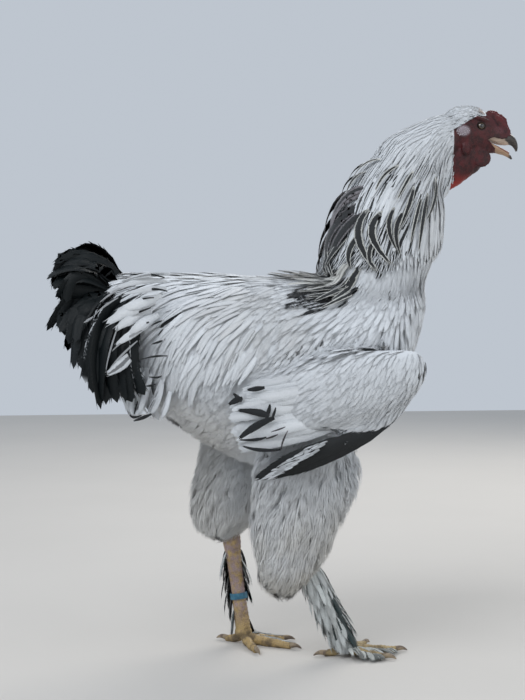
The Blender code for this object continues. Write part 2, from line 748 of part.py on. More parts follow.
def shank(side, s, grow=0.0):
    # The scaled shank and the feathers down its outer side
    chance = random.Random(17 if s < 0 else 19)
    rows = shank_rows(side)
    pieces = [form(rows, 7, 10, grow)]
    length, half = SHANK_FEATHER
    fall = (ANKLE[side] - HOCK[side]).normalized()
    for tier, u in enumerate(SHANK_TIERS[side]):
        for k in range(2):
            root, facing = surface(rows, u, s * math.radians(85 + 60 * k + 15 * tier), -0.003)
            tip = root + fall * (length * chance.uniform(0.9, 1.15)) + facing * (0.013 + 0.002 * tier)
            tip.z = max(tip.z, 0.006)
            pieces.append(blade(root, tip, facing, half, 0.003, 3, VANE, 0.4, grow))
    return pieces


def toe_rows(side, s, name):
    # A toe from the ball of the foot to the root of its claw
    _, length, thick = TOES[name]
    rows = []
    for t, high, size in TOE:
        spot = ANKLE[side] + toe_way(side, s, name) * (length * t)
        radius = TOE_R * thick * size
        rows.append((spot.x, spot.y, high, radius, radius))
    return rows


def toe_way(side, s, name):
    heading = math.radians(TOE_HEADING[side] + s * TOES[name][0])
    return Vector((math.cos(heading), math.sin(heading), 0.0))


def foot(side, s, grow=0.0):
    # Four toes from the ball of the foot, the outer two with small feathers
    pieces = [ball(ANKLE[side] - Vector((0.0, 0.0, 0.002)), FOOT_RADII, segments=8, rings=6, grow=grow)]
    pieces += [form(toe_rows(side, s, name), 5, 8, grow) for name in TOES]
    for name, places in FOOT_FEATHERS:
        way = toe_way(side, s, name)
        outward = Vector((-way.y * s, way.x * s, 0.0))
        for t in places:
            root = ANKLE[side] + way * (TOES[name][1] * t)
            root.z = 0.0085
            tip = root + way * 0.016 + outward * 0.028
            tip.z = 0.0045
            pieces.append(blade(root, tip, Vector((0.0, 0.0, 1.0)), 0.0065, 0.003, 3, VANE, 0.45, grow))
    return pieces


def claw(side, s, name):
    # A short curved claw whose point nearly reaches the ground
    _, length, thick = TOES[name]
    rows = []
    for reach, high, half in CLAW:
        spot = ANKLE[side] + toe_way(side, s, name) * (length + reach)
        rows.append((spot.x, spot.y, high, half * thick, half * thick))
    return form(rows, 5, 7)


def settle():
    # Moves the whole bird so that the middle of its outline is over the origin
    corners = [obj.data.vertices[k].co for obj in bpy.data.objects for k in range(len(obj.data.vertices))]
    low = [min(c[k] for c in corners) for k in range(3)]
    high = [max(c[k] for c in corners) for k in range(3)]
    shift = Vector((-(low[0] + high[0]) / 2, -(low[1] + high[1]) / 2, -low[2]))
    for obj in bpy.data.objects:
        obj.data.transform(Matrix.Translation(shift))


for leftover in list(bpy.data.objects):
    bpy.data.objects.remove(leftover)
make_torso()
make_neck()
make_head()
make_beak()
make_comb()
make_wattles()
make_wings()
make_rump()
make_tail()
make_legs()
settle()
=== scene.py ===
import math
import random

import bmesh
import bpy
import numpy as np
from mathutils import Matrix, Vector, kdtree, noise
from mathutils.bvhtree import BVHTree


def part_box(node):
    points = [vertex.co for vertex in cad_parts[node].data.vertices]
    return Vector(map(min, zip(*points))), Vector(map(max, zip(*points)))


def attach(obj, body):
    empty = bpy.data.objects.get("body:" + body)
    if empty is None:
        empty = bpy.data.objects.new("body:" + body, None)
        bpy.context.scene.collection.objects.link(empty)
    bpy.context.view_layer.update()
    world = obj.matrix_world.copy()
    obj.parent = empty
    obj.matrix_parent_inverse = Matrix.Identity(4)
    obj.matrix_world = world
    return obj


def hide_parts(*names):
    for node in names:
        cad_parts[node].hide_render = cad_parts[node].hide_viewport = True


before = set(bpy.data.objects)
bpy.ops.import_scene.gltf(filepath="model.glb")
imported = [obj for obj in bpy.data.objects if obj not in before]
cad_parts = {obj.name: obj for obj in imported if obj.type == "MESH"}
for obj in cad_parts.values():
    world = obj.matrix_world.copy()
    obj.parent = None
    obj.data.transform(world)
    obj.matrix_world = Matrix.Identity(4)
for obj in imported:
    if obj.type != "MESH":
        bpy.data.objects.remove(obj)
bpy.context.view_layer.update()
bpy.ops.object.select_all(action="DESELECT")

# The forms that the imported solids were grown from. A row holds a section's centre, half width and half depth.
forms = {
    "torso": [
        (-0.218, 0, 0.406, 0.028, 0.044), (-0.19, 0, 0.402, 0.058, 0.078), (-0.15, 0, 0.39, 0.085, 0.094),
        (-0.1, 0, 0.374, 0.104, 0.11), (-0.04, 0, 0.36, 0.116, 0.124), (0.02, 0, 0.356, 0.12, 0.127),
        (0.07, 0, 0.368, 0.118, 0.114), (0.105, 0, 0.387, 0.108, 0.097), (0.135, 0, 0.411, 0.088, 0.075),
        (0.155, 0, 0.43, 0.062, 0.05), (0.167, 0, 0.44, 0.034, 0.027), (0.171, 0, 0.444, 0.01, 0.008),
    ],
    "neck": [
        (0.094, 0, 0.43, 0.078, 0.066), (0.108, 0, 0.485, 0.076, 0.07), (0.124, 0, 0.53, 0.066, 0.074),
        (0.137, 0, 0.575, 0.055, 0.068), (0.152, 0, 0.613, 0.045, 0.053), (0.18, 0, 0.641, 0.034, 0.042),
        (0.206, 0, 0.656, 0.027, 0.036), (0.218, 0, 0.661, 0.023, 0.032),
    ],
    "head": [
        (0.207, 0, 0.656, 0.017, 0.021), (0.219, 0, 0.658, 0.0225, 0.0315), (0.236, 0, 0.6595, 0.0215, 0.0315),
        (0.25, 0, 0.659, 0.0185, 0.029), (0.262, 0, 0.6555, 0.0145, 0.0215), (0.278, 0, 0.65, 0.0105, 0.015),
    ],
    "throat": [
        (0.193, 0, 0.584, 0.005, 0.004), (0.206, 0, 0.606, 0.014, 0.018), (0.22, 0, 0.629, 0.018, 0.028),
        (0.238, 0, 0.646, 0.017, 0.024), (0.254, 0, 0.65, 0.013, 0.013),
    ],
    "thighRight": [
        (0.014, -0.056, 0.29, 0.044, 0.06), (0.014, -0.056, 0.24, 0.052, 0.074),
        (0.002, -0.056, 0.195, 0.051, 0.066), (-0.006, -0.055, 0.155, 0.044, 0.059),
        (-0.014, -0.054, 0.12, 0.033, 0.046), (-0.026, -0.052, 0.092, 0.019, 0.028),
    ],
    "thighLeft": [
        (-0.04, 0.056, 0.29, 0.044, 0.062), (-0.052, 0.057, 0.245, 0.052, 0.068),
        (-0.066, 0.057, 0.205, 0.049, 0.06), (-0.082, 0.055, 0.172, 0.04, 0.052),
        (-0.09, 0.052, 0.146, 0.027, 0.034),
    ],
    "wing": [
        (0.148, 0.116, 0.366, 0.013, 0.016), (0.134, 0.119, 0.362, 0.021, 0.032),
        (0.1, 0.122, 0.351, 0.025, 0.045), (0.05, 0.122, 0.342, 0.026, 0.051),
        (0.0, 0.118, 0.332, 0.023, 0.05), (-0.045, 0.109, 0.32, 0.015, 0.04),
        (-0.07, 0.103, 0.305, 0.006, 0.022),
    ],
    "hand": [
        (0.128, 0.116, 0.336, 0.008, 0.012), (0.104, 0.119, 0.313, 0.011, 0.017),
        (0.074, 0.12, 0.298, 0.011, 0.017), (0.042, 0.119, 0.286, 0.008, 0.014),
    ],
    "tail": [
        (-0.186, 0, 0.432, 0.046, 0.05), (-0.214, 0, 0.436, 0.042, 0.046),
        (-0.238, 0, 0.438, 0.028, 0.034), (-0.256, 0, 0.438, 0.008, 0.01),
    ],
}
sides = {"Right": -1, "Left": 1}
eye = {
    "place": Vector((0.2425, 0.0145, 0.668)), "radius": 0.0062, "corneaRadius": 0.0042, "corneaHeight": 0.0007,
    "lidRing": 0.0066, "lidTube": 0.0019, "lidShape": (1.12, 0.92, 1.0), "opening": (0.0058, 0.0065, 0.0046),
    "iris": (0.02, 0.011, 0.005, 1), "irisLight": (0.085, 0.05, 0.018, 1), "rim": (0.018, 0.008, 0.006, 1),
    "pupil": (0.002, 0.002, 0.002, 1),
}
seat = (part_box("eye_r")[0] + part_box("eye_r")[1]) / 2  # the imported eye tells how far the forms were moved
shift = seat - Vector((eye["place"].x, -eye["place"].y, eye["place"].z))


def splineAt(rows, u):
    place = min(max(u, 0.0), 1.0) * (len(rows) - 1)
    k = min(int(place), len(rows) - 2)
    t = place - k
    a, b, c, d = (np.array(rows[min(max(k + j, 0), len(rows) - 1)], float) for j in (-1, 0, 1, 2))
    return 0.5 * (2 * b + (c - a) * t + (2 * a - 5 * b + 4 * c - d) * t**2 + (3 * b - a - 3 * c + d) * t**3)


def sectionAt(rows, u):
    # Centre, half axis across and half axis up; a long level form keeps upright sections
    here = splineAt(rows, u)
    along = splineAt(rows, min(u + 0.02, 1))[:3] - splineAt(rows, max(u - 0.02, 0))[:3]
    if abs(rows[-1][0] - rows[0][0]) > 0.15:
        along[1:] = 0
    along /= np.linalg.norm(along)
    across = np.array((0, 1.0, 0)) - along * along[1]
    across /= np.linalg.norm(across)
    return here[:3], across * here[3], np.cross(along, across) * here[4]


def mirrored(rows, side):
    return [(row[0], side * row[1], *row[2:]) for row in rows]


def meshObject(name, verts, faces):
    mesh = bpy.data.meshes.new(name)
    mesh.from_pydata([tuple(v) for v in verts], [], faces)
    mesh.validate()
    mesh.shade_smooth()
    piece = bpy.data.objects.new(name, mesh)
    bpy.context.collection.objects.link(piece)
    return piece


def closeRings(name, verts, count, ends):
    # Joins rings of places into one closed form, with a fan to the middle of each end
    faces = []
    last = len(verts) // count - 1
    for ring in range(last):
        for j in range(count):
            a, b = ring * count + j, ring * count + (j + 1) % count
            faces.append((a, b, b + count, a + count))
    for ring, end in zip((0, last), ends):
        verts.append(end)
        for j in range(count):
            a, b = ring * count + j, ring * count + (j + 1) % count
            faces.append((len(verts) - 1, b, a) if ring == 0 else (len(verts) - 1, a, b))
    piece = meshObject(name, verts, faces)
    tidyNormals(piece)
    return piece


def loft(name, rows, rings, count, inset=0.0):
    # A rounded closed form through the rows, drawn in by the inset
    verts = []
    for i in range(rings):
        centre, across, up = sectionAt(rows, i / (rings - 1))
        across = across * max(1 - inset / max(np.linalg.norm(across), 1e-6), 0.3)
        up = up * max(1 - inset / max(np.linalg.norm(up), 1e-6), 0.3)
        for j in range(count):
            angle = 2 * math.pi * j / count
            verts.append(centre + (across * math.sin(angle) + up * math.cos(angle)))
    return closeRings(name, verts, count, (sectionAt(rows, 0)[0], sectionAt(rows, 1)[0]))


def tidyNormals(piece):
    bm = bmesh.new()
    bm.from_mesh(piece.data)
    bmesh.ops.recalc_face_normals(bm, faces=bm.faces[:])
    if bm.calc_volume(signed=True) < 0:
        bmesh.ops.reverse_faces(bm, faces=bm.faces[:])
    bm.to_mesh(piece.data)
    bm.free()


def ball(centre, radii, turn=None, detail=3):
    bpy.ops.mesh.primitive_ico_sphere_add(subdivisions=detail, radius=1.0, location=(0, 0, 0))
    piece = bpy.context.object
    size = Matrix.Diagonal((*radii, 1.0))
    piece.data.transform(Matrix.Translation(centre) @ (turn or Matrix.Identity(4)) @ size)
    return piece


def joinAll(name, pieces):
    bpy.ops.object.select_all(action="DESELECT")
    for piece in pieces:
        piece.select_set(True)
    bpy.context.view_layer.objects.active = pieces[0]
    bpy.ops.object.join()
    pieces[0].name = name
    bpy.ops.object.select_all(action="DESELECT")
    return pieces[0]


def applied(piece, kind, **settings):
    change = piece.modifiers.new(kind.lower(), kind)
    for key, value in settings.items():
        setattr(change, key, value)
    bpy.context.view_layer.objects.active = piece
    bpy.ops.object.modifier_apply(modifier=change.name)
    return piece


def fused(piece, voxel, passes):
    # One closed, smoothed surface out of parts that overlap
    applied(piece, "REMESH", mode="VOXEL", voxel_size=voxel)
    return applied(piece, "SMOOTH", factor=0.5, iterations=passes)


def vertArray(mesh, what="co"):
    out = np.empty(len(mesh.vertices) * 3)
    mesh.vertices.foreach_get(what, out)
    return out.reshape(-1, 3)


def smoothStep(low, high, value):
    t = np.clip((value - low) / (high - low), 0, 1)
    return t * t * (3 - 2 * t)


# The skin: one surface over body, wings, thighs, neck and bare head

skinLook = {
    "voxel": 0.005, "passes": 8, "headVoxel": 0.00105, "headPasses": 3, "guideVoxel": 0.0026, "guidePasses": 5,
    "inset": {"torso": 0.009, "neck": 0.008, "wing": 0.007, "hand": 0.004, "tail": 0.006, "thigh": 0.014},
    "wrinkle": 0.0003, "fold": 0.00055,
}
mouth = {"corner": Vector((0.253, 0, 0.6505)), "high": 0.28, "low": 0.51, "slit": 0.0004, "front": 0.27}


def makeBodySkin():
    inset = skinLook["inset"]
    parts = [
        loft("torsoCore", forms["torso"], 40, 40, inset["torso"]),
        loft("neckCore", forms["neck"], 30, 32, inset["neck"]),
        loft("tailCore", forms["tail"], 14, 24, inset["tail"]),
        loft("thighCore", forms["thighRight"], 24, 28, inset["thigh"]),
        loft("thighCore", forms["thighLeft"], 24, 28, inset["thigh"]),
    ]
    for side in sides.values():
        parts.append(loft("wingCore", mirrored(forms["wing"], side), 26, 26, inset["wing"]))
        parts.append(loft("handCore", mirrored(forms["hand"], side), 16, 16, inset["hand"]))
    return fused(joinAll("bodySkin", parts), skinLook["voxel"], skinLook["passes"])


mouthEdge = [  # the border of the horn, seen from the side
    (0.2532, 0.6512), (0.256, 0.6532), (0.2603, 0.6546), (0.2678, 0.654), (0.2735, 0.653), (0.2785, 0.6545),
    (0.283, 0.657), (0.31, 0.659), (0.31, 0.615), (0.274, 0.629), (0.2715, 0.635), (0.264, 0.6405),
    (0.258, 0.6462),
]


def mouthCutter():
    bm = bmesh.new()
    ring = [bm.verts.new((x, -0.03, z)) for x, z in mouthEdge]
    face = bm.faces.new(ring)
    grown = bmesh.ops.extrude_face_region(bm, geom=[face])["geom"]
    bmesh.ops.translate(bm, verts=[v for v in grown if isinstance(v, bmesh.types.BMVert)], vec=(0, 0.06, 0))
    bmesh.ops.triangulate(bm, faces=bm.faces[:])
    mesh = bpy.data.meshes.new("mouthCut")
    bm.to_mesh(mesh)
    bm.free()
    cutter = bpy.data.objects.new("mouthCut", mesh)
    bpy.context.collection.objects.link(cutter)
    tidyNormals(cutter)
    return cutter


def cutAway(piece, cutters):
    for cutter in cutters:
        applied(piece, "BOOLEAN", operation="DIFFERENCE", object=cutter, solver="EXACT")
        bpy.data.objects.remove(cutter)
    return piece


faceForms = {  # place on the left half, radii, and turns about X, Y and Z in degrees
    "brow": ((0.244, 0.0172, 0.6768), (0.0115, 0.0038, 0.003), (0, 14, -10)),
    "cheek": ((0.23, 0.019, 0.658), (0.012, 0.0036, 0.0075), (0, 0, 0)),
    "ear": ((0.2195, 0.0205, 0.662), (0.0068, 0.003, 0.0058), (0, 0, 0)),
    "wattle": ((0.2435, 0.0128, 0.63), (0.013, 0.003, 0.0145), (8, -38, 0)),
    "earlobe": ((0.2225, 0.019, 0.64), (0.006, 0.0036, 0.0095), (0, 0, 0)),
}
combLook = {
    "line": [(0.2875, 0.6595), (0.283, 0.669), (0.276, 0.6782), (0.2668, 0.6858), (0.2575, 0.6888)],
    "lean": 41, "beads": 13, "height": 0.0078, "width": 0.0036, "sideGap": 0.005,
}


def combParts():
    # Three low ridges of round beads, the middle one highest
    chance = random.Random(4)
    parts = []
    turn = Matrix.Rotation(-math.radians(combLook["lean"]), 4, "Y")
    out = Vector((math.cos(math.radians(combLook["lean"])), 0, math.sin(math.radians(combLook["lean"]))))
    for aside, share in ((0.0, 1.0), (combLook["sideGap"], 0.72), (-combLook["sideGap"], 0.72)):
        for k in range(combLook["beads"]):
            t = (k + (0.5 if aside else 0.0)) / combLook["beads"]
            x, z = splineAt(combLook["line"], t)
            grow = (0.8 + 0.22 * float(smoothStep(0.0, 0.5, np.float64(t)))) * share * chance.uniform(0.84, 1.06)
            height, width = combLook["height"] * grow, combLook["width"] * grow
            at = Vector((x, aside, z)) - out * (0.0078 - 0.0048 * grow + (0.0012 if aside else 0.0))
            parts.append(ball(at, (height, width, width * 1.05), turn))
    return parts


def makeHeadSkin():
    parts = [
        loft("skull", forms["head"], 30, 36),
        loft("throat", forms["throat"], 26, 30),
        loft("nape", [(0.139, 0, 0.582, 0.03, 0.038), *forms["neck"][4:]], 22, 30, 0.006),
        ball(Vector((0.227, 0, 0.679)), (0.0275, 0.0172, 0.0168)),
    ]
    parts += combParts()
    for side in sides.values():
        spot = Vector((eye["place"].x, side * (eye["place"].y + 0.002), eye["place"].z))
        bpy.ops.mesh.primitive_torus_add(
            location=spot, rotation=(math.pi / 2, 0, 0), major_segments=40, minor_segments=12,
            major_radius=eye["lidRing"], minor_radius=eye["lidTube"],
        )
        lids = bpy.context.object
        lids.scale = eye["lidShape"]
        bpy.ops.object.transform_apply(location=True, rotation=True, scale=True)
        parts.append(lids)
        for (x, y, z), radii, (lean, tip, twist) in faceForms.values():
            turn = Matrix.Rotation(side * math.radians(lean), 4, "X") @ Matrix.Rotation(math.radians(tip), 4, "Y")
            turn = turn @ Matrix.Rotation(side * math.radians(twist), 4, "Z")
            parts.append(ball(Vector((x, side * y, z)), radii, turn))
    head = joinAll("headSkin", parts)
    fused(head, skinLook["headVoxel"], skinLook["headPasses"])
    cutters = [mouthCutter()]
    for side in sides.values():
        spot = Vector((eye["place"].x, side * (eye["place"].y + 0.0052), eye["place"].z))
        cutters.append(ball(spot, eye["opening"]))
    cutAway(head, cutters)
    spots, normals = vertArray(head.data), vertArray(head.data, "normal")
    lift = np.empty(len(spots))
    for k, p in enumerate(spots):
        fine = noise.noise(Vector(p) * 900) + 0.6 * noise.noise(Vector(p) * 1700)
        fold = noise.noise(Vector((p[0] * 260, p[1] * 150, p[2] * 120)))
        lift[k] = skinLook["wrinkle"] * fine + skinLook["fold"] * fold
    bare = smoothStep(0.203, 0.212, spots[:, 0]) * (1 - smoothStep(0.271, 0.276, spots[:, 0]))
    spots += normals * (lift * bare)[:, None]
    head.data.vertices.foreach_set("co", spots.ravel())
    head.data.update()
    return head


print("stage: skin")
body = makeBodySkin()
head = makeHeadSkin()
skin = joinAll("skin", [body, head])
print("skin", len(skin.data.polygons))
skin.data.shade_smooth()
skinTree = BVHTree.FromObject(skin, bpy.context.evaluated_depsgraph_get())


def makeGuide():
    # The outer surface alone, smoothed, for the coat to grow from and to lie along
    guide = skin.copy()
    guide.data = skin.data.copy()
    bpy.context.collection.objects.link(guide)
    return fused(guide, skinLook["guideVoxel"], skinLook["guidePasses"])


guide = makeGuide()
guideTree = BVHTree.FromObject(guide, bpy.context.evaluated_depsgraph_get())


# What grows where: the lie of the coat, its form regions and its markings

lies = np.array([  # a place on the left half in millimetres, and the way the coat lies there in hundredths
    (255, 0, 692, -100, 0, 25), (225, 0, 698, -100, 0, -5), (200, 15, 688, -95, 5, -35), (215, 22, 668, -90, 5, -45),
    (165, 20, 672, -85, 5, -50), (190, 30, 645, -62, 5, -75), (130, 35, 640, -62, 10, -75),
    (200, 16, 620, -30, 2, -95), (160, 45, 610, -55, 10, -80), (95, 30, 600, -42, 10, -90),
    (196, 12, 570, -8, 0, -100), (140, 60, 560, -42, 12, -88), (75, 30, 550, -30, 10, -95),
    (190, 20, 520, -10, 5, -100), (130, 70, 500, -25, 15, -95), (60, 40, 505, -75, 15, -60), (20, 0, 485, -100, 0, 0),
    (30, 60, 465, -90, 20, -30), (-60, 0, 484, -100, 0, 0), (-150, 0, 482, -100, 0, -5), (-60, 60, 465, -85, 20, -45),
    (-150, 50, 462, -92, 15, -35), (-50, 105, 420, -60, 12, -78), (-120, 95, 410, -55, 5, -82),
    (-185, 60, 430, -85, 5, -52), (-170, 75, 370, -45, 0, -90), (-110, 100, 350, -42, 0, -90),
    (-140, 60, 310, -55, -5, -80), (-205, 20, 370, -40, 0, -92), (80, 90, 440, -55, 25, -78),
    (30, 110, 410, -70, 15, -70), (165, 0, 430, -10, 0, -100), (150, 60, 410, -25, 10, -95),
    (140, 50, 340, -35, 0, -92), (100, 0, 270, -70, 0, -60), (147, 120, 380, -26, 5, -97),
    (110, 140, 370, -40, 0, -92), (60, 145, 355, -60, -2, -80), (0, 138, 345, -82, -8, -55),
    (-50, 125, 330, -94, -15, -30), (120, 135, 330, -56, 0, -83), (60, 135, 305, -80, 0, -60),
    (20, 105, 270, -45, 0, -90), (0, 90, 200, -16, 2, -100), (50, 60, 220, -10, 2, -100), (-40, 60, 200, -30, 2, -95),
    (-110, 60, 230, -36, 2, -93), (0, 60, 110, -22, 2, -100), (-90, 0, 250, -55, 0, -80), (-80, 60, 150, -30, 2, -95),
])
liePlace, lieWay = lies[:, :3] / 1000, lies[:, 3:] / 100
lieWay /= np.linalg.norm(lieWay, axis=1)[:, None]


def lieAt(points):
    # Nearby ways blended, the same on both sides of the bird
    side = np.where(points[:, 1] < 0, -1.0, 1.0)
    halved = points * np.stack([np.ones_like(side), side, np.ones_like(side)], 1)
    away = ((halved[:, None, :] - liePlace[None]) ** 2).sum(2) + 1e-5
    weight = away**-2.2
    way = (weight[:, :, None] * lieWay[None]).sum(1)
    way[:, 1] *= side
    return unit(way)


def unit(vectors):
    return vectors / np.maximum(np.linalg.norm(vectors, axis=-1, keepdims=True), 1e-9)


def tangent(way, normal):
    return unit(way - normal * (way * normal).sum(1)[:, None])


def formIndex():
    # Samples of each full form, so that a place on the skin can be told by the form that it belongs to
    named = {
        "torso": forms["torso"], "neck": forms["neck"], "tail": forms["tail"], "thighRight": forms["thighRight"],
        "thighLeft": forms["thighLeft"], "wingRight": mirrored(forms["wing"], -1), "wingLeft": forms["wing"],
        "handRight": mirrored(forms["hand"], -1), "handLeft": forms["hand"],
    }
    names, places = [], []
    for name, rows in named.items():
        for i in range(50):
            centre, across, up = sectionAt(rows, i / 49)
            for j in range(36):
                angle = 2 * math.pi * j / 36
                spot = centre + across * math.sin(angle) + up * math.cos(angle)
                near, normal, _, _ = guideTree.find_nearest(Vector(spot))
                if (Vector(spot) - near).dot(normal) > 0.001:
                    names.append(name)
                    places.append(spot)
    tree = kdtree.KDTree(len(places))
    for k, spot in enumerate(places):
        tree.insert(spot, k)
    tree.balance()
    return tree, names


print("stage: regions")
formTree, formNames = formIndex()
guide.data.calc_loop_triangles()
corners = np.empty(len(guide.data.loop_triangles) * 3, np.int64)
guide.data.loop_triangles.foreach_get("vertices", corners)
corners = corners.reshape(-1, 3)
guideSpots = vertArray(guide.data)
guideNormals = vertArray(guide.data, "normal")
bpy.data.objects.remove(guide)
triSpots = guideSpots[corners].mean(1)
triNormals = unit(guideNormals[corners].mean(1))
legA, legB = (guideSpots[corners[:, k]] - guideSpots[corners[:, 0]] for k in (1, 2))
triAreas = np.linalg.norm(np.cross(legA, legB), axis=1) / 2
triForms = np.array([formNames[formTree.find(Vector(p))[1]] for p in triSpots])


faceEdge = {  # the cap's lower edge in x and z, and where the bare skin begins and ends
    "cap": ((0.2047, 0.2214, 0.2288, 0.2381, 0.2512), (0.6657, 0.6714, 0.676, 0.6807, 0.6815)),
    "rear": (0.205, 0.2085), "ahead": (0.25, 0.2525), "lowest": 0.58,
}


def bareFace(p):
    # How bare the head is: the face in front of the neck and under the feathered cap
    capLine = np.interp(p[:, 0], *faceEdge["cap"])
    front = smoothStep(*faceEdge["rear"], p[:, 0] + 0.28 * np.clip(0.6 - p[:, 2], 0, 0.03))
    below = 1 - smoothStep(-0.001, 0.0015, p[:, 2] - capLine)
    ahead = smoothStep(*faceEdge["ahead"], p[:, 0])
    return np.where(p[:, 2] > faceEdge["lowest"], np.clip(np.maximum(front * below, ahead), 0, 1), 0)


def noiseAt(points, scale, seed=0.0):
    offset = Vector((seed, -seed, 2 * seed))
    return np.array([noise.noise(Vector(p) * scale + offset) for p in points])


def patch(p, centre, radii):
    # A soft round patch, mirrored to both sides
    q = np.stack([p[:, 0], np.abs(p[:, 1]), p[:, 2]], 1) - np.array(centre)
    return 1 - smoothStep(0.6, 1.25, np.sqrt(((q / np.array(radii)) ** 2).sum(1)))


coatColours = {
    "white": np.array((0.8, 0.84, 0.88)),
    "cream": np.array((0.84, 0.8, 0.71)),
    "stain": np.array((0.4, 0.38, 0.34)),
    "lace": np.array((0.62, 0.63, 0.6)),
    "brown": np.array((0.2, 0.19, 0.205)),
    "crownRim": np.array((0.74, 0.5, 0.36)),
    "earHair": np.array((0.6, 0.54, 0.58)),
    "wrist": np.array((0.1, 0.085, 0.075)),
}


soiledPatches = [  # place on the left half, radii, strength
    ((-0.055, 0.1, 0.43), (0.085, 0.06, 0.055), 0.42), ((0.02, 0.1, 0.335), (0.1, 0.06, 0.05), 0.14),
    ((0.175, 0.02, 0.54), (0.03, 0.04, 0.05), 0.3), ((-0.02, 0.07, 0.11), (0.06, 0.06, 0.03), 0.35),
]


def markings(p, seed=0.0):
    # Base tint at places on the coat: white, creamy low down and at the rear, soiled in patches
    soft = noiseAt(p, 24, seed)
    fine = noiseAt(p, 85, seed + 3)
    tint = np.repeat(coatColours["white"][None], len(p), 0)
    low = smoothStep(0.3, 0.13, p[:, 2]) * (0.55 + 0.45 * soft)
    rear = smoothStep(-0.02, -0.12, p[:, 0]) * smoothStep(0.36, 0.26, p[:, 2]) * 0.6
    tint = tint + (coatColours["cream"] - tint) * np.clip(np.maximum(low, rear), 0, 1)[:, None]
    dirty = np.max([patch(p, place, radii) * strength for place, radii, strength in soiledPatches], axis=0)
    dirty = dirty * np.clip(0.55 + 0.9 * fine + 0.5 * soft, 0, 1)
    tint = tint + (coatColours["stain"] - tint) * dirty[:, None]
    tint = tint * (1 + 0.05 * fine)[:, None]
    return np.clip(tint, 0.01, 1)


# Feather shapes: closed, thin three-sided strips in (across, along, up)

class Template:
    def __init__(self):
        self.verts, self.uvs, self.faces = [], [], []

    def strip(self, track, widths, rises, edge=None):
        # A strip along the track that ends in a point; edge gives its place across the feather for the markings
        rows = []
        for (x, t, h), w, rise in zip(track[:-1], widths, rises):
            rows.append(len(self.verts))
            for dx, dh in ((-w, 0), (0, rise), (w, 0)):
                self.verts.append((x + dx, t, h + dh))
                self.uvs.append((edge if edge is not None else np.sign(dx), t))
        tip = len(self.verts)
        self.verts.append(track[-1])
        self.uvs.append((edge if edge is not None else 0.0, track[-1][1]))
        for a, b in zip(rows, rows[1:]):
            for i, j in ((0, 1), (1, 2), (2, 0)):
                self.faces += [(a + i, a + j, b + j), (a + i, b + j, b + i)]
        a = rows[-1]
        self.faces += [(a, a + 1, tip), (a + 1, a + 2, tip), (a + 2, a, tip)]
        self.faces.append((rows[0], rows[0] + 2, rows[0] + 1))

    def arrays(self):
        return np.array(self.verts, float), np.array(self.uvs, float), np.array(self.faces, np.int64)


def outline(t, root, full, blunt):
    # Half width of a feather along its length
    grow = root + (1 - root) * min(t / full, 1) ** 0.8
    return grow if t < 0.62 else grow * (1 - (1 - blunt) * ((t - 0.62) / 0.38) ** 2)


def softFeather(strands=15, seed=1, stations=4, camber=-0.1, loose=1.0):
    # A small body feather: a narrow vane under a fan of fine strands
    chance = random.Random(seed)
    shape = Template()
    ts = [0.78 * k / (stations - 1) for k in range(stations)]
    track = [(0, t, camber * t) for t in ts] + [(0, 0.93, camber)]
    shape.strip(track, [0.5 * outline(t, 0.5, 0.3, 0.5) for t in ts], [0.04] * stations)
    for k in range(strands):
        s = (k + 0.5) / strands * 2 - 1
        t0 = 0.58 - 0.46 * abs(s) + 0.1 * chance.random()
        t1 = 1.04 - 0.3 * s * s + 0.09 * chance.uniform(-1, 1)
        x1 = s * chance.uniform(0.72, 1.12) * loose
        h1 = camber * t1 + loose * chance.uniform(-0.06, 0.16)
        shape.strip([(0.42 * s, t0, camber * t0 + 0.02), (x1, t1, h1)], [0.085], [0.03], s * 0.85)
    return shape.arrays()


def lanceWidth(t):
    return 0.5 + 0.5 * min(t / 0.35, 1) if t < 0.45 else 1 - 0.8 * ((t - 0.45) / 0.55) ** 1.6


def lanceFeather(barbs=10, seed=2, stations=6, camber=-0.1):
    # A long pointed hackle feather with hair-fine edges
    chance = random.Random(seed)
    shape = Template()
    ts = [0.93 * k / (stations - 1) for k in range(stations)]
    track = [(0, t, 0) for t in ts] + [(0, 1.0, camber)]
    shape.strip(track, [lanceWidth(t) for t in ts], [0.1] * stations)
    for k in range(barbs):
        s = -1 if k % 2 else 1
        t0 = 0.25 + 0.66 * (k / barbs) + 0.03 * chance.random()
        w0 = lanceWidth(t0)
        t1 = t0 + 0.15 + 0.05 * chance.random()
        x1 = s * (lanceWidth(min(t1, 1.0)) * 0.95 + 0.1 + 0.14 * chance.random())
        shape.strip([(s * w0 * 0.86, t0, 0), (x1, t1, 0.02)], [0.09], [0.03], s)
    return shape.arrays()


def downTuft(strands=12, seed=3, loose=1.0):
    # A tuft of soft separate strands
    chance = random.Random(seed)
    shape = Template()
    for k in range(strands):
        s = (k + 0.5) / strands * 2 - 1
        x0, x1 = 0.4 * s, s * chance.uniform(0.75, 1.2) * loose
        t1 = chance.uniform(0.74, 1.06) * (1 - 0.22 * s * s)
        h1 = chance.uniform(-0.1, 0.5) * loose
        middle = ((x0 + x1) / 2 * 1.1, t1 * 0.55, h1 * 0.55)
        shape.strip([(x0, 0.0, 0.05 * chance.random()), middle, (x1, t1, h1)], [0.11, 0.09], [0.05, 0.04], s * 0.9)
    return shape.arrays()


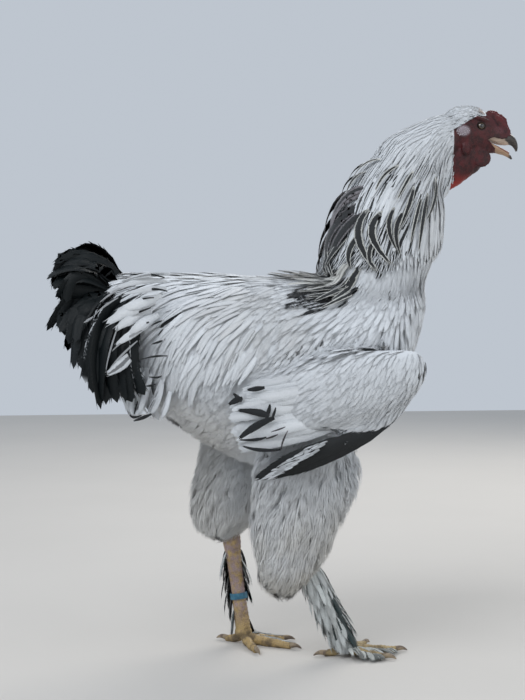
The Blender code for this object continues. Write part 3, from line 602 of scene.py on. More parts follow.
def broadFeather(barbs=22, seed=5, stations=8, blunt=0.55, camber=-0.14, ragged=0.16):
    # A flight or tail feather whose vane splits here and there at its edge
    chance = random.Random(seed)
    shape = Template()
    ts = [0.94 * k / (stations - 1) for k in range(stations)]
    width = [outline(t, 0.3, 0.25, blunt) * chance.uniform(0.93, 1.03) for t in ts]
    track = [(0, t, 0) for t in ts] + [(0, 1.0, camber * 0.5)]
    shape.strip(track, width, [0.1] * stations)
    for k in range(barbs):
        s = -1 if k % 2 else 1
        t0 = 0.14 + 0.8 * (k / barbs)
        w0 = outline(t0, 0.3, 0.25, blunt)
        t1 = min(t0 + 0.06 + 0.06 * chance.random(), 1.08)
        x1 = s * (w0 * 0.9 + ragged * chance.random()) * (1 if t1 < 0.9 else 0.75)
        shape.strip([(s * w0 * 0.72, t0, 0.02), (x1, t1, 0.0)], [0.13], [0.04], s * 0.8)
    return shape.arrays()


def scatter(chosen, spacing, seed):
    # Even random places on the chosen triangles of the guide, no two nearer than the spacing
    rng = np.random.default_rng(seed)
    weight = triAreas * chosen
    total = weight.sum()
    count = int(total / (spacing**2 * 0.8) * 3.2) + 1
    pick = rng.choice(len(weight), count, p=weight / total)
    a, b = rng.random(count), rng.random(count)
    flip = a + b > 1
    a[flip], b[flip] = 1 - a[flip], 1 - b[flip]
    three = guideSpots[corners[pick]]
    spots = three[:, 0] + (three[:, 1] - three[:, 0]) * a[:, None] + (three[:, 2] - three[:, 0]) * b[:, None]
    grid, kept = {}, []
    cells = np.floor(spots / spacing).astype(int)
    near = [(i, j, k) for i in (-1, 0, 1) for j in (-1, 0, 1) for k in (-1, 0, 1)]
    limit = spacing**2
    rows = spots.tolist()
    for n, (x, y, z) in enumerate(cells.tolist()):
        p = rows[n]
        for i, j, k in near:
            other = grid.get((x + i, y + j, z + k))
            if other and any((p[0] - q[0]) ** 2 + (p[1] - q[1]) ** 2 + (p[2] - q[2]) ** 2 < limit for q in other):
                break
        else:
            grid.setdefault((x, y, z), []).append(p)
            kept.append(n)
    return spots[kept], triNormals[pick[kept]], rng


def turnedBy(way, facing, angle):
    return way * np.cos(angle)[:, None] + np.cross(facing, way) * np.sin(angle)[:, None]


def trace(roots, normals, lengths, lifts, stations, cling, sway, droop=0.0, stiff=0.5, curl=None):
    # Spines that run from their roots along the lie of the coat, held off the skin; curl turns their ends aside
    p = roots.copy()
    facing = normals.copy()
    way = turnedBy(tangent(lieAt(p), facing), facing, sway)
    spine, faces = [roots - normals * rootDepth], [facing]
    for k in range(1, stations):
        t = k / (stations - 1)
        step = (lengths / (stations - 1))[:, None]
        fresh = turnedBy(tangent(lieAt(p), facing), facing, sway)
        way = unit(way * stiff + fresh * (1 - stiff) + np.array((0, 0, -droop)))
        if curl is not None:
            way = turnedBy(way, facing, curl * t / (stations - 1))
        q = p + way * step
        near = np.empty_like(q)
        out = np.empty_like(q)
        for n, spot in enumerate(q.tolist()):
            hit, normal, _, _ = guideTree.find_nearest(spot)
            near[n], out[n] = hit, normal
        height = ((q - near) * out).sum(1)
        want = lifts * (0.25 + 0.75 * t)
        gap = want - height
        q = q + out * np.where(gap > 0, gap, gap * cling)[:, None]
        way = unit(q - p)
        facing = unit(facing * 0.5 + out * 0.5)
        facing = tangent(facing, way)
        spine.append(q)
        faces.append(facing)
        p = q
    return np.stack(spine, 1), np.stack(faces, 1)


def stationWeights(ts, stations):
    # How much each station counts at each place along, on a smooth curve through the stations
    table = np.zeros((len(ts), stations))
    for row, t in enumerate(np.clip(ts, 0, None)):
        place = t * (stations - 1)
        k = min(int(place), stations - 2)
        f = place - k
        if f > 1:
            table[row, k] += 1 - f
            table[row, k + 1] += f
            continue
        for offset, share in (
            (-1, -0.5 * f + f**2 - 0.5 * f**3), (0, 1 - 2.5 * f**2 + 1.5 * f**3),
            (1, 0.5 * f + 2 * f**2 - 1.5 * f**3), (2, -0.5 * f**2 + 0.5 * f**3),
        ):
            table[row, min(max(k + offset, 0), stations - 1)] += share
    return table


bakePatch = 0.0028  # side of a feather's patch on the unwrap of the skin
rootDepth = 0.0012  # how far a feather's root is sunk into the skin
pieceLimit = 185000  # triangles in one piece of the coat


class Coat:
    # Gathers feathers for one piece; a low roundness makes them look flatter
    def __init__(self, name, roundness=0.45):
        self.name, self.roundness = name, roundness
        self.verts, self.faces, self.vane, self.bake, self.tint, self.ink, self.normals = [], [], [], [], [], [], []
        self.count = 0

    def add(self, shape, spine, facing, halves, tint, ink):
        verts, uvs, faces = shape
        n, stations = spine.shape[:2]
        along = unit(np.gradient(spine, axis=1))
        across = unit(np.cross(along, facing))
        facing = unit(np.cross(across, along))
        weights = stationWeights(verts[:, 1], stations)
        middle = np.einsum("vk,nkc->nvc", weights, spine)
        aside = unit(np.einsum("vk,nkc->nvc", weights, across))
        up = unit(np.einsum("vk,nkc->nvc", weights, facing))
        half = halves[:, None, None]
        placed = middle + aside * (verts[None, :, :1] * half) + up * (verts[None, :, 2:] * half)
        base = self.count + np.arange(n)[:, None, None] * len(verts)
        lean = np.clip(verts[None, :, :1], -1, 1) * self.roundness
        self.verts.append(placed.reshape(-1, 3))
        self.normals.append(unit(up + aside * lean).reshape(-1, 3))
        self.faces.append((faces[None] + base).reshape(-1, 3))
        self.vane.append(np.tile(uvs * np.array((0.5, 1)) + np.array((0.5, 0)), (n, 1)))
        places = bakePlace(spine[:, 0])
        small = (uvs * np.array((0.5, 1)) - np.array((0, 0.5))) * bakePatch
        self.bake.append((places[:, None] + small[None]).reshape(-1, 2))
        self.tint.append(np.repeat(tint, len(verts), 0))
        self.ink.append(np.repeat(ink, len(verts)))
        self.count += n * len(verts)

    def build(self, material, replaces=()):
        verts = np.concatenate(self.verts) + np.array(shift)
        faces = np.concatenate(self.faces)
        mesh = bpy.data.meshes.new(self.name)
        mesh.vertices.add(len(verts))
        mesh.vertices.foreach_set("co", verts.ravel())
        mesh.loops.add(faces.size)
        mesh.loops.foreach_set("vertex_index", faces.ravel())
        mesh.polygons.add(len(faces))
        mesh.polygons.foreach_set("loop_start", np.arange(len(faces)) * 3)
        mesh.polygons.foreach_set("loop_total", np.full(len(faces), 3))
        mesh.update(calc_edges=True)
        for name, data in (("OFBake", self.bake), ("vane", self.vane)):
            layer = mesh.uv_layers.new(name=name)
            layer.data.foreach_set("uv", np.concatenate(data)[faces.ravel()].ravel())
        mesh.uv_layers["OFBake"].active_render = True
        tint = mesh.attributes.new("tint", "FLOAT_COLOR", "POINT")
        colours = np.concatenate([np.concatenate(self.tint), np.ones((len(verts), 1))], 1)
        tint.data.foreach_set("color", colours.ravel())
        ink = mesh.attributes.new("ink", "FLOAT", "POINT")
        ink.data.foreach_set("value", np.concatenate(self.ink))
        mesh.shade_smooth()
        mesh.normals_split_custom_set_from_vertices(np.concatenate(self.normals).tolist())
        mesh.materials.append(material)
        piece = bpy.data.objects.new(self.name, mesh)
        bpy.context.collection.objects.link(piece)
        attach(piece, "root")
        if replaces:
            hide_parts(*replaces)
        print("piece", self.name, len(faces))
        return piece


def plant(name, shapes, spine, facing, halves, tint, ink, material, slot, replaces=(), roundness=0.45):
    # Sets feathers down in as many pieces as keeps each of them light
    n = len(spine)
    size = sum(len(shape[2]) for shape in shapes) / len(shapes)
    parts = max(1, math.ceil(n * size / pieceLimit))
    order = np.argsort(spine[:, 0, 0])
    kind = np.arange(n) % len(shapes)
    for part, rows in enumerate(np.array_split(order, parts)):
        piece = Coat(name + (str(part + 1) if parts > 1 else ""), roundness)
        for k, shape in enumerate(shapes):
            own = rows[kind[rows] == k]
            if len(own):
                piece.add(shape, spine[own], facing[own], halves[own], tint[own], ink[own])
        piece.build(material, replaces if part == 0 else ())


def unwrapSkin():
    bpy.ops.object.select_all(action="DESELECT")
    skin.select_set(True)
    bpy.context.view_layer.objects.active = skin
    bpy.ops.object.mode_set(mode="EDIT")
    bpy.ops.mesh.select_all(action="SELECT")
    bpy.ops.uv.smart_project(angle_limit=math.radians(66), island_margin=0.002)
    bpy.ops.object.mode_set(mode="OBJECT")
    skin.select_set(False)
    layer = skin.data.uv_layers[0]
    layer.name = "OFBake"
    flat = np.empty(len(skin.data.loops) * 2)
    layer.data.foreach_get("uv", flat)
    flat = flat.reshape(-1, 2)
    starts = np.empty(len(skin.data.polygons), np.int64)
    totals = np.empty(len(skin.data.polygons), np.int64)
    skin.data.polygons.foreach_get("loop_start", starts)
    skin.data.polygons.foreach_get("loop_total", totals)
    return np.add.reduceat(flat, starts, axis=0) / totals[:, None]


print("stage: unwrap")
faceUv = unwrapSkin()


def bakePlace(roots):
    # Where each root lies on the unwrap of the skin
    return faceUv[[skinTree.find_nearest(p)[2] for p in roots.tolist()]]


# Materials

def newMaterial(name):
    material = bpy.data.materials.new(name)
    material.use_nodes = True
    tree = material.node_tree
    return material, tree, tree.nodes["Principled BSDF"]


def node(tree, kind, links=(), **settings):
    made = tree.nodes.new(kind)
    for key, value in settings.items():
        setattr(made, key, value)
    for socket, value in links:
        if isinstance(value, bpy.types.NodeSocket):
            tree.links.new(value, made.inputs[socket])
        else:
            made.inputs[socket].default_value = value
    return made


def calc(tree, operation, a, b=0.0, c=0.0, clamp=False):
    made = node(tree, "ShaderNodeMath", [(0, a), (1, b), (2, c)], operation=operation, use_clamp=clamp)
    return made.outputs[0]


def times(tree, a, b):
    return calc(tree, "MULTIPLY", a, b)


def ownPlace(tree):
    return node(tree, "ShaderNodeTexCoord").outputs["Object"]


def cloud(tree, place, scale, detail=2.0):
    return node(tree, "ShaderNodeTexNoise", [("Vector", place), ("Scale", scale), ("Detail", detail)]).outputs["Fac"]


def feed(tree, shader, colour, roughness):
    tree.links.new(colour, shader.inputs["Base Color"])
    tree.links.new(roughness, shader.inputs["Roughness"])


def setSockets(shader, values):
    for name, value in values.items():
        shader.inputs[name].default_value = value


def addBump(tree, shader, strength, distance, height):
    bump = node(tree, "ShaderNodeBump", [("Strength", strength), ("Distance", distance), ("Height", height)])
    tree.links.new(bump.outputs[0], shader.inputs["Normal"])


def ramp(tree, value, low, high, toLow=0.0, toHigh=1.0):
    made = node(
        tree, "ShaderNodeMapRange", [("Value", value), (1, low), (2, high), (3, toLow), (4, toHigh)],
        interpolation_type="SMOOTHSTEP",
    )
    return made.outputs["Result"]


def mixed(tree, factor, a, b, blend="MIX"):
    made = node(tree, "ShaderNodeMix", data_type="RGBA", blend_type=blend)
    for socket, value in (("Factor_Float", factor), ("A_Color", a), ("B_Color", b)):
        target = next(s for s in made.inputs if s.identifier == socket)
        if isinstance(value, bpy.types.NodeSocket):
            tree.links.new(value, target)
        else:
            target.default_value = value
    return next(s for s in made.outputs if s.identifier == "Result_Color")


def makeBarbGroup():
    # Fine slanting barb lines across a feather, from its own across and along
    group = bpy.data.node_groups.new("barbLines", "ShaderNodeTree")
    group.interface.new_socket("Lines", in_out="INPUT", socket_type="NodeSocketFloat")
    group.interface.new_socket("Slant", in_out="INPUT", socket_type="NodeSocketFloat")
    group.interface.new_socket("Side", in_out="OUTPUT", socket_type="NodeSocketFloat")
    group.interface.new_socket("Along", in_out="OUTPUT", socket_type="NodeSocketFloat")
    group.interface.new_socket("Barbs", in_out="OUTPUT", socket_type="NodeSocketFloat")
    entry = group.nodes.new("NodeGroupInput")
    leave = group.nodes.new("NodeGroupOutput")
    vane = node(group, "ShaderNodeUVMap", uv_map="vane")
    split = node(group, "ShaderNodeSeparateXYZ", [(0, vane.outputs[0])])
    side = calc(group, "ABSOLUTE", calc(group, "MULTIPLY_ADD", split.outputs[0], 2.0, -1.0))
    along = split.outputs[1]
    slanted = calc(group, "SUBTRACT", along, times(group, side, entry.outputs["Slant"]))
    wave = calc(group, "SINE", times(group, slanted, entry.outputs["Lines"]))
    for name, value in (("Side", side), ("Along", along), ("Barbs", wave)):
        group.links.new(value, leave.inputs[name])
    return group


barbGroup = makeBarbGroup()


def featherMaterial(name, look):
    # Plumage whose tint and black centre come with each feather; a weak ink gives a thin centre line
    material, tree, shader = newMaterial(name)
    barbs = node(tree, "ShaderNodeGroup", node_tree=barbGroup)
    barbs.inputs["Lines"].default_value = look["lines"]
    barbs.inputs["Slant"].default_value = look["slant"]
    tint = node(tree, "ShaderNodeAttribute", attribute_name="tint").outputs["Color"]
    ink = node(tree, "ShaderNodeAttribute", attribute_name="ink").outputs["Fac"]
    place = ownPlace(tree)
    grain = cloud(tree, place, 420.0, 3.0)
    reach = calc(tree, "MULTIPLY_ADD", calc(tree, "MINIMUM", ink, 1.0), look["inkEdge"] * 0.8, look["inkEdge"] * 0.2)
    side = calc(tree, "ADD", barbs.outputs["Side"], calc(tree, "MULTIPLY_ADD", grain, 0.5, -0.25))
    centre = ramp(tree, calc(tree, "SUBTRACT", side, reach), -0.1, 0.12, 1.0, 0.0)
    tipward = ramp(tree, barbs.outputs["Along"], look["inkEnd"] - 0.05, look["inkEnd"] + 0.05, 1.0, 0.0)
    start = calc(tree, "ADD", barbs.outputs["Along"], calc(tree, "MULTIPLY_ADD", grain, 0.2, -0.1))
    rootward = ramp(tree, start, look["inkFrom"], look["inkFrom"] + 0.12)
    strength = ramp(tree, ink, 0.02, 0.5)
    dark = times(tree, times(tree, centre, tipward), times(tree, rootward, strength))
    full = ramp(tree, ink, 1.0, 1.5)
    dark = calc(tree, "MAXIMUM", dark, full, clamp=True)
    shade = calc(tree, "MULTIPLY_ADD", barbs.outputs["Barbs"], look["barbShade"], 1.0)
    shade = times(tree, shade, calc(tree, "MULTIPLY_ADD", grain, look["grain"], 1.0 - look["grain"] / 2))
    shaft = ramp(tree, barbs.outputs["Side"], 0.02, 0.1, look["shaft"], 0.0)
    pale = mixed(tree, shaft, tint, look["shaftColour"])
    colour = mixed(tree, dark, pale, look["black"])
    value = node(tree, "ShaderNodeCombineColor", [(0, shade), (1, shade), (2, shade)]).outputs[0]
    colour = mixed(tree, 1.0, colour, value, "MULTIPLY")
    feed(tree, shader, colour, ramp(tree, dark, 0.0, 1.0, look["rough"], look["roughBlack"]))
    addBump(tree, shader, 0.25, 0.0004, barbs.outputs["Barbs"])
    setSockets(shader, {
        "Sheen Weight": look["sheen"], "Sheen Roughness": 0.5, "Specular IOR Level": look["specular"],
        "Subsurface Weight": look["glow"], "Subsurface Radius": (1.0, 1.0, 1.0),
        "Subsurface Scale": look["glowDepth"],
    })
    return material


plumageLook = {
    "lines": 260.0, "slant": 0.35, "inkEdge": 0.62, "inkEnd": 0.93, "inkFrom": 0.05, "barbShade": 0.03, "grain": 0.16,
    "shaft": 0.12, "black": (0.012, 0.014, 0.016, 1), "rough": 0.82, "roughBlack": 0.5, "sheen": 0.25, "specular": 0.2,
    "glow": 0.3, "glowDepth": 0.004, "shaftColour": (0.55, 0.52, 0.44, 1),
}
plumage = featherMaterial("plumage", {**plumageLook, "shaft": 0.0})
hacklePlumage = featherMaterial("hacklePlumage", {**plumageLook, "inkEdge": 0.76, "inkEnd": 0.97, "lines": 380.0})
downMaterial = featherMaterial("down", {**plumageLook, "grain": 0.08, "shaft": 0.0, "sheen": 0.3, "barbShade": 0.0})
tailPlumage = featherMaterial(
    "blackPlumage",
    {**plumageLook, "inkEdge": 0.9, "inkEnd": 0.98, "black": (0.0035, 0.006, 0.007, 1), "roughBlack": 0.46,
     "specular": 0.22, "sheen": 0.0, "glow": 0.0},
)
wingPlumage = featherMaterial(
    "flightPlumage",
    {**plumageLook, "inkEdge": 0.8, "inkEnd": 0.97, "inkFrom": 0.62, "lines": 520.0, "roughBlack": 0.42,
     "black": (0.01, 0.012, 0.013, 1)},
)


# The coat

coat = {
    "cap": {"spacing": 0.0021, "length": (0.009, 0.017), "half": 0.0012, "lift": 0.001},
    "hackle": {"spacing": 0.0042, "length": (0.022, 0.075), "half": (0.0015, 0.004), "lift": (0.0014, 0.0066)},
    "cape": {"spacing": 0.0066, "length": 0.074, "half": 0.004, "lift": 0.0075},
    "body": {"spacing": 0.005, "length": (0.034, 0.044), "half": 0.0054, "lift": 0.0036},
    "saddle": {"spacing": 0.005, "length": 0.078, "half": 0.0034, "lift": 0.006},
    "wing": {"spacing": 0.0046, "length": (0.028, 0.044), "half": (0.0042, 0.0056), "lift": 0.0023},
    "shoulder": {"count": 150, "rows": (-0.025, 0.088), "length": 0.044, "half": 0.0054, "lift": 0.004},
    "down": {"spacing": 0.0056, "length": (0.026, 0.04), "half": 0.0062, "lift": 0.009},
}
bareness = bareFace(triSpots)
openSkin = bareness < 0.5
onHead = openSkin & (triSpots[:, 0] > 0.196) & (triSpots[:, 2] > 0.655)
isCap = onHead & (triSpots[:, 0] < 0.2515)
neckSkin = openSkin & (triForms == "neck") & ~onHead
isNeck = neckSkin & (triSpots[:, 2] > 0.512 - 0.25 * np.clip(0.075 - triSpots[:, 0], 0, 0.1))
isWing = openSkin & np.isin(triForms, ("wingRight", "wingLeft", "handRight", "handLeft"))
isThigh = openSkin & np.isin(triForms, ("thighRight", "thighLeft"))
isTorso = openSkin & ((triForms == "torso") | (neckSkin & ~isNeck))
underside = isTorso & (
    (triSpots[:, 2] < 0.262 + 0.3 * np.clip(-triSpots[:, 0] - 0.02, 0, 1)) | (triNormals[:, 2] < -0.72)
)
isBody = isTorso & ~underside
isDown = isThigh | underside


def varied(rng, count, low=0.85, high=1.15):
    return rng.uniform(low, high, count)


def between(ends, share):
    return ends[0] + (ends[1] - ends[0]) * share


def streaks(p):
    # Soft tones drawn out along the lie of the coat
    way = lieAt(p)
    drawn = p - way * (p * way).sum(1)[:, None] * 0.82
    return noiseAt(drawn, 130, 2.0) + 0.6 * noiseAt(drawn, 260, 7.0)


def hackleInk(p):
    # White at the head, thin streaks below, broad black centres at the hem; white again at the front
    edge = 0.136 + 0.95 * (p[:, 2] - 0.515)
    front = smoothStep(edge + 0.01, edge - 0.008, p[:, 0])
    thin = smoothStep(0.65, 0.61, p[:, 2] + 0.1 * (p[:, 0] - 0.1)) * 0.4
    broad = smoothStep(0.545, 0.515, p[:, 2] - 0.25 * np.clip(p[:, 0] - 0.08, 0, 0.1)) * 0.3
    return np.clip((thin + broad) * front, 0, 1)


earHairs = ((0.2195, 0.0215, 0.662), (0.0078, 0.012, 0.0062))  # place on the left half, radii


def growCap():
    look = coat["cap"]
    spots, normals, rng = scatter(isCap, look["spacing"], 21)
    n = len(spots)
    rear = smoothStep(0.25, 0.2, spots[:, 0])
    length = between(look["length"], rear) * varied(rng, n)
    rim = smoothStep(0.244, 0.25, spots[:, 0])
    half = look["half"] * (1 + 0.5 * rear) * varied(rng, n)
    lift = look["lift"] * (1 + 1.4 * rim)
    spine, facing = trace(spots, normals, length, lift, 4, 0.8, rng.normal(0, 0.12, n))
    tint = markings(spots)
    tint = tint + (coatColours["crownRim"] - tint) * (rim * 0.75)[:, None]
    ink = np.where((rng.random(n) < 0.16) & (spots[:, 2] < 0.684) & (spots[:, 0] > 0.214), 0.5, 0.0)
    plant("capFeathers", [softFeather(5, seed, 3) for seed in (11, 12)], spine, facing, half, tint, ink, plumage,
          "white_feather")
    # short pale hairs on the ear, and bristles along the edge of the bare face
    near = patch(triSpots, *earHairs) > 0.35
    ear, out, rng = scatter(near, 0.0015, 31)
    edge = (bareness > 0.1) & (bareness < 0.92) & (triSpots[:, 2] > 0.6) & (triSpots[:, 0] < 0.2485)
    spots, normals, _ = scatter(edge, 0.0015, 41)
    spots, normals = np.concatenate([ear, spots]), np.concatenate([out, normals])
    n, m = len(spots), len(ear)
    isEar = np.arange(n) < m
    length = np.where(isEar, 0.0034, 0.0065) * varied(rng, n)
    spine, facing = trace(spots, normals, length, np.where(isEar, 0.0006, 0.001), 3, 0.7, rng.normal(0, 0.25, n))
    tint = np.where(isEar[:, None], coatColours["earHair"] * varied(rng, n)[:, None], markings(spots))
    plant("faceBristles", [softFeather(3, 13, 3)], spine, facing, np.where(isEar, 0.0006, 0.0008), tint,
          np.where(rng.random(n) < 0.2 * ~isEar, 1.6, 0.0), plumage, "white_feather")


def curved(roots, mids, tips, stations=9):
    # Spines through a root, a middle and a tip
    t = np.linspace(0, 1, stations)[None, :, None]
    middle = (2 * mids - 0.5 * (roots + tips))[:, None]
    return roots[:, None] * (1 - t) ** 2 + 2 * middle * t * (1 - t) + tips[:, None] * t**2


fringe = {  # hanging feathers of the neck
    "laced": [
        (979, 5640, 807, 5248, 975, 4815, 52, 1.0), (1153, 5600, 952, 5268, 1150, 4891, 50, 1.0),
        (1268, 5650, 1130, 5364, 1193, 5076, 34, 1.0), (1384, 5600, 1212, 5307, 1240, 4990, 36, 1.0),
        (1693, 5860, 1539, 5461, 1464, 5043, 32, 1.0), (1790, 6020, 1713, 5746, 1610, 5470, 30, 0.9),
        (1499, 5900, 1384, 5629, 1255, 5334, 32, 0.9), (1600, 5780, 1460, 5480, 1380, 5160, 30, 0.8),
        (800, 5400, 597, 5078, 472, 4808, 50, 1.1), (560, 5440, 390, 5152, 512, 4682, 40, 0.9),
        (700, 5250, 522, 4984, 483, 4764, 44, 1.1), (900, 5350, 720, 5080, 690, 4830, 46, 1.0),
        (1040, 5240, 900, 5040, 930, 4810, 36, 0.9), (960, 6080, 805, 5982, 660, 5829, 34, 0.8),
        (1130, 6230, 990, 6120, 850, 5960, 26, 0.6), (1330, 6150, 1160, 5990, 1040, 5790, 26, 0.6),
        (1500, 6080, 1380, 5900, 1270, 5690, 26, 0.6),
    ],
    "brown": [
        (1000, 5870, 640, 5720, 348, 5321, 68, 0.45), (960, 5800, 660, 5640, 400, 5330, 58, 0.2),
        (980, 5700, 640, 5400, 425, 4983, 85, 1.0), (900, 5580, 680, 5290, 540, 4990, 70, 1.1),
    ],
}


def drawnRows(rows):
    # Tables give root, middle and tip in x and z and the half width in tenths of a millimetre, then the ink
    return [((a / 1e4, b / 1e4), (c / 1e4, d / 1e4), (e / 1e4, f / 1e4), half / 1e4, ink)
            for a, b, c, d, e, f, half, ink in rows]


def sideSpot(x, z, side, lift, flat):
    # A place and its outward way on the flank, seen from the side, or on a surface that stands over the flank
    if flat is not None:
        return (x, side * (np.interp(x, *flat) + lift), z), (0.0, side, 0.0)
    hit, normal, _, _ = guideTree.ray_cast(Vector((x, side * 0.3, z)), Vector((0, -side, 0)))
    if hit is None:
        hit, normal, _, _ = guideTree.find_nearest(Vector((x, side * 0.02, z)))
    return tuple(hit + normal * lift), tuple(normal)


def drawnSpines(rows, side, lifts, flat=None, stations=8):
    # Spines through a root, a middle and a tip given from the side, laid over the flank
    ends, outs = [], []
    for row in rows:
        places = [sideSpot(x, z, side, lift, flat) for (x, z), lift in zip(row[:3], lifts)]
        ends.append([place for place, _ in places])
        outs.append([out for _, out in places])
    ends, outs = np.array(ends), np.array(outs, float)
    spine = curved(ends[:, 0], ends[:, 1], ends[:, 2], stations)
    return spine, unit(curved(outs[:, 0], outs[:, 1], outs[:, 2], stations))


def growHackle():
    look = coat["hackle"]
    spots, normals, rng = scatter(isNeck, look["spacing"], 22)
    n = len(spots)
    down = smoothStep(0.675, 0.555, spots[:, 2])
    hem = 0.482 + 0.022 * noiseAt(spots, 55, 3.0) + 0.15 * np.clip(spots[:, 0] - 0.115, 0, 0.1)
    longest = between(look["length"], down) * varied(rng, n, 0.82, 1.1)
    length = np.clip(np.minimum(longest, (spots[:, 2] - hem) * 1.06 * varied(rng, n, 0.88, 1.1)), 0.022, 1)
    front = smoothStep(0.165, 0.195, spots[:, 0])
    length *= 1 - 0.35 * front
    half = between(look["half"], down) * varied(rng, n, 0.8, 1.2) * np.clip(length / 0.05, 0.7, 1.05)
    lift = between(look["lift"], down) * varied(rng, n, 0.6, 1.3) * (1 - 0.35 * smoothStep(0.54, 0.51, spots[:, 2]))
    lock = noiseAt(spots, 28, 11.0)
    sway = rng.normal(0, 0.05, n) + np.sign(spots[:, 1]) * 0.08 * down + 0.2 * lock * down
    curl = (0.9 * noiseAt(spots, 20, 14.0) - 0.25 * np.sign(spots[:, 1])) * down
    spine, facing = trace(spots, normals, length, lift, 7, 0.6, sway, 0.03, 0.6, curl)
    middle = spine[:, 3]
    ink = hackleInk(middle)
    streaked = rng.random(n) < 0.3 + 0.9 * ink
    ink = np.where(streaked, np.clip(ink * varied(rng, n, 0.75, 1.25), 0, 1), 0.0)
    tint = markings(middle) * (1 + 0.1 * streaks(middle))[:, None]
    shapes = [lanceFeather(12, seed) for seed in (2, 7, 9)]
    plant("hackle", shapes, spine, facing, half, tint, ink, hacklePlumage, "white_feather", (), 0.35)
    # the long feathers that hang loose over the neck's base, laced and grey-brown
    for kind, shapes, slot in (
        ("laced", [lanceFeather(16, seed, 8) for seed in (2, 7)], "black_feather"),
        ("brown", [broadFeather(34, seed, 9, 0.12, -0.08, 0.3) for seed in (41, 42)], "black_feather"),
    ):
        rows = drawnRows(fringe[kind])
        for name, side in sides.items():
            spine, facing = drawnSpines(rows, side, (0.002, 0.011, 0.0095))
            spine = spine + rng.normal(0, 0.0012, (len(rows), 1, 3)) * np.linspace(0, 1, 8)[None, :, None]
            tint = np.repeat(coatColours["lace" if kind == "laced" else "brown"][None], len(rows), 0)
            tint = tint * varied(rng, len(rows))[:, None]
            plant(kind + "Neck" + name, shapes, spine, facing, np.array([row[3] for row in rows]), tint,
                  np.array([row[4] for row in rows]), hacklePlumage, slot, (), 0.35)


def growCape():
    # Black streaked feathers that spread from under the hackle over the front of the back
    look = coat["cape"]
    line = 0.47 - 0.1 * np.clip(triSpots[:, 0] - 0.045, 0, 1)
    top = isTorso & (triSpots[:, 2] > line) & (triSpots[:, 0] > 0.012) & (triSpots[:, 0] < 0.085)
    spots, normals, rng = scatter(top, look["spacing"], 23)
    n = len(spots)
    rear = smoothStep(0.08, 0.01, spots[:, 0])
    length = look["length"] * varied(rng, n, 0.65, 1.1) * (1 - 0.4 * rear)
    sway = rng.normal(0, 0.14, n)
    spine, facing = trace(spots, normals, length, look["lift"] * varied(rng, n, 0.8, 1.6), 7, 0.8, sway)
    ink = np.where(rng.random(n) < 0.8, varied(rng, n, 0.75, 1.1), 0.25)
    half = look["half"] * varied(rng, n)
    tint = np.repeat(coatColours["lace"][None], n, 0) * varied(rng, n)[:, None]
    shapes = [lanceFeather(10, seed) for seed in (2, 7)]
    plant("cape", shapes, spine, facing, half, tint, ink, hacklePlumage, "black_feather", (), 0.35)


def growBody():
    look = coat["body"]
    spots, normals, rng = scatter(isBody, look["spacing"], 24)
    n = len(spots)
    rear = smoothStep(0.12, -0.12, spots[:, 0])
    lock = noiseAt(spots, 30, 5.0)
    shoulder = patch(spots, (0.08, 0.11, 0.415), (0.11, 0.06, 0.04))
    length = between(look["length"], rear) * varied(rng, n, 0.85, 1.15) * (1 + 0.45 * shoulder)
    half = look["half"] * varied(rng, n, 0.85, 1.15)
    lift = look["lift"] * (1 + 0.45 * lock + 0.6 * shoulder) * varied(rng, n, 0.75, 1.1)
    sway = rng.normal(0, 0.09, n) + 0.3 * noiseAt(spots, 26, 8.0)
    spine, facing = trace(spots, normals, length, lift, 5, 0.8 - 0.6 * shoulder, sway, 0.02)
    middle = spine[:, 2]
    scapular = patch(middle, (0.028, 0.085, 0.452), (0.04, 0.06, 0.019))
    scapular = np.maximum(scapular, patch(middle, (0.05, 0.08, 0.468), (0.016, 0.06, 0.01)))
    blotch = noiseAt(middle, 70, 9.0) + 0.7 * streaks(middle)
    dark = (scapular * (0.85 + 1.0 * blotch) > 0.4) & (middle[:, 2] < 0.482)
    ink = np.where(dark, rng.choice((0.8, 1.2, 2.0, 2.0), n), 0.0)
    smudge = patch(middle, (0.115, 0.085, 0.452), (0.014, 0.05, 0.012)) * (rng.random(n) < 0.5)
    ink = np.maximum(ink, 0.5 * smudge)
    tint = markings(middle) * (1 + 0.11 * streaks(middle))[:, None]
    shapes = [softFeather(15, seed) for seed in (1, 4, 6)]
    plant("body", shapes, spine, facing, half, tint, ink, plumage, "white_feather", (), 0.14)


def growSaddle():
    # Long lance-shaped feathers that fall from the rear of the back over the sides and the tail
    look = coat["saddle"]
    area = isTorso & (triSpots[:, 0] < -0.05) & (triSpots[:, 2] > 0.38)
    spots, normals, rng = scatter(area, look["spacing"], 25)
    n = len(spots)
    back = smoothStep(-0.05, -0.12, spots[:, 0])
    length = look["length"] * varied(rng, n, 0.7, 1.12) * (0.65 + 0.35 * back)
    lift = look["lift"] * varied(rng, n, 0.5, 1.25)
    sway = rng.normal(0, 0.1, n) + 0.25 * noiseAt(spots, 26, 8.0)
    spine, facing = trace(spots, normals, length, lift, 7, 0.6, sway, 0.03, 0.6, 0.5 * noiseAt(spots, 30, 2.0))
    rear = smoothStep(-0.12, -0.175, spots[:, 0]) * smoothStep(0.42, 0.455, spots[:, 2])
    ink = np.where(rng.random(n) < 0.5 * rear, varied(rng, n, 0.5, 1.0), np.where(rng.random(n) < 0.04, 0.25, 0.0))
    half = look["half"] * varied(rng, n)
    tint = markings(spine[:, 3]) * (1 + 0.13 * streaks(spine[:, 3]))[:, None]
    shapes = [lanceFeather(14, seed) for seed in (2, 7, 9)]
    plant("saddle", shapes, spine, facing, half, tint, ink, hacklePlumage, "white_feather", (), 0.2)


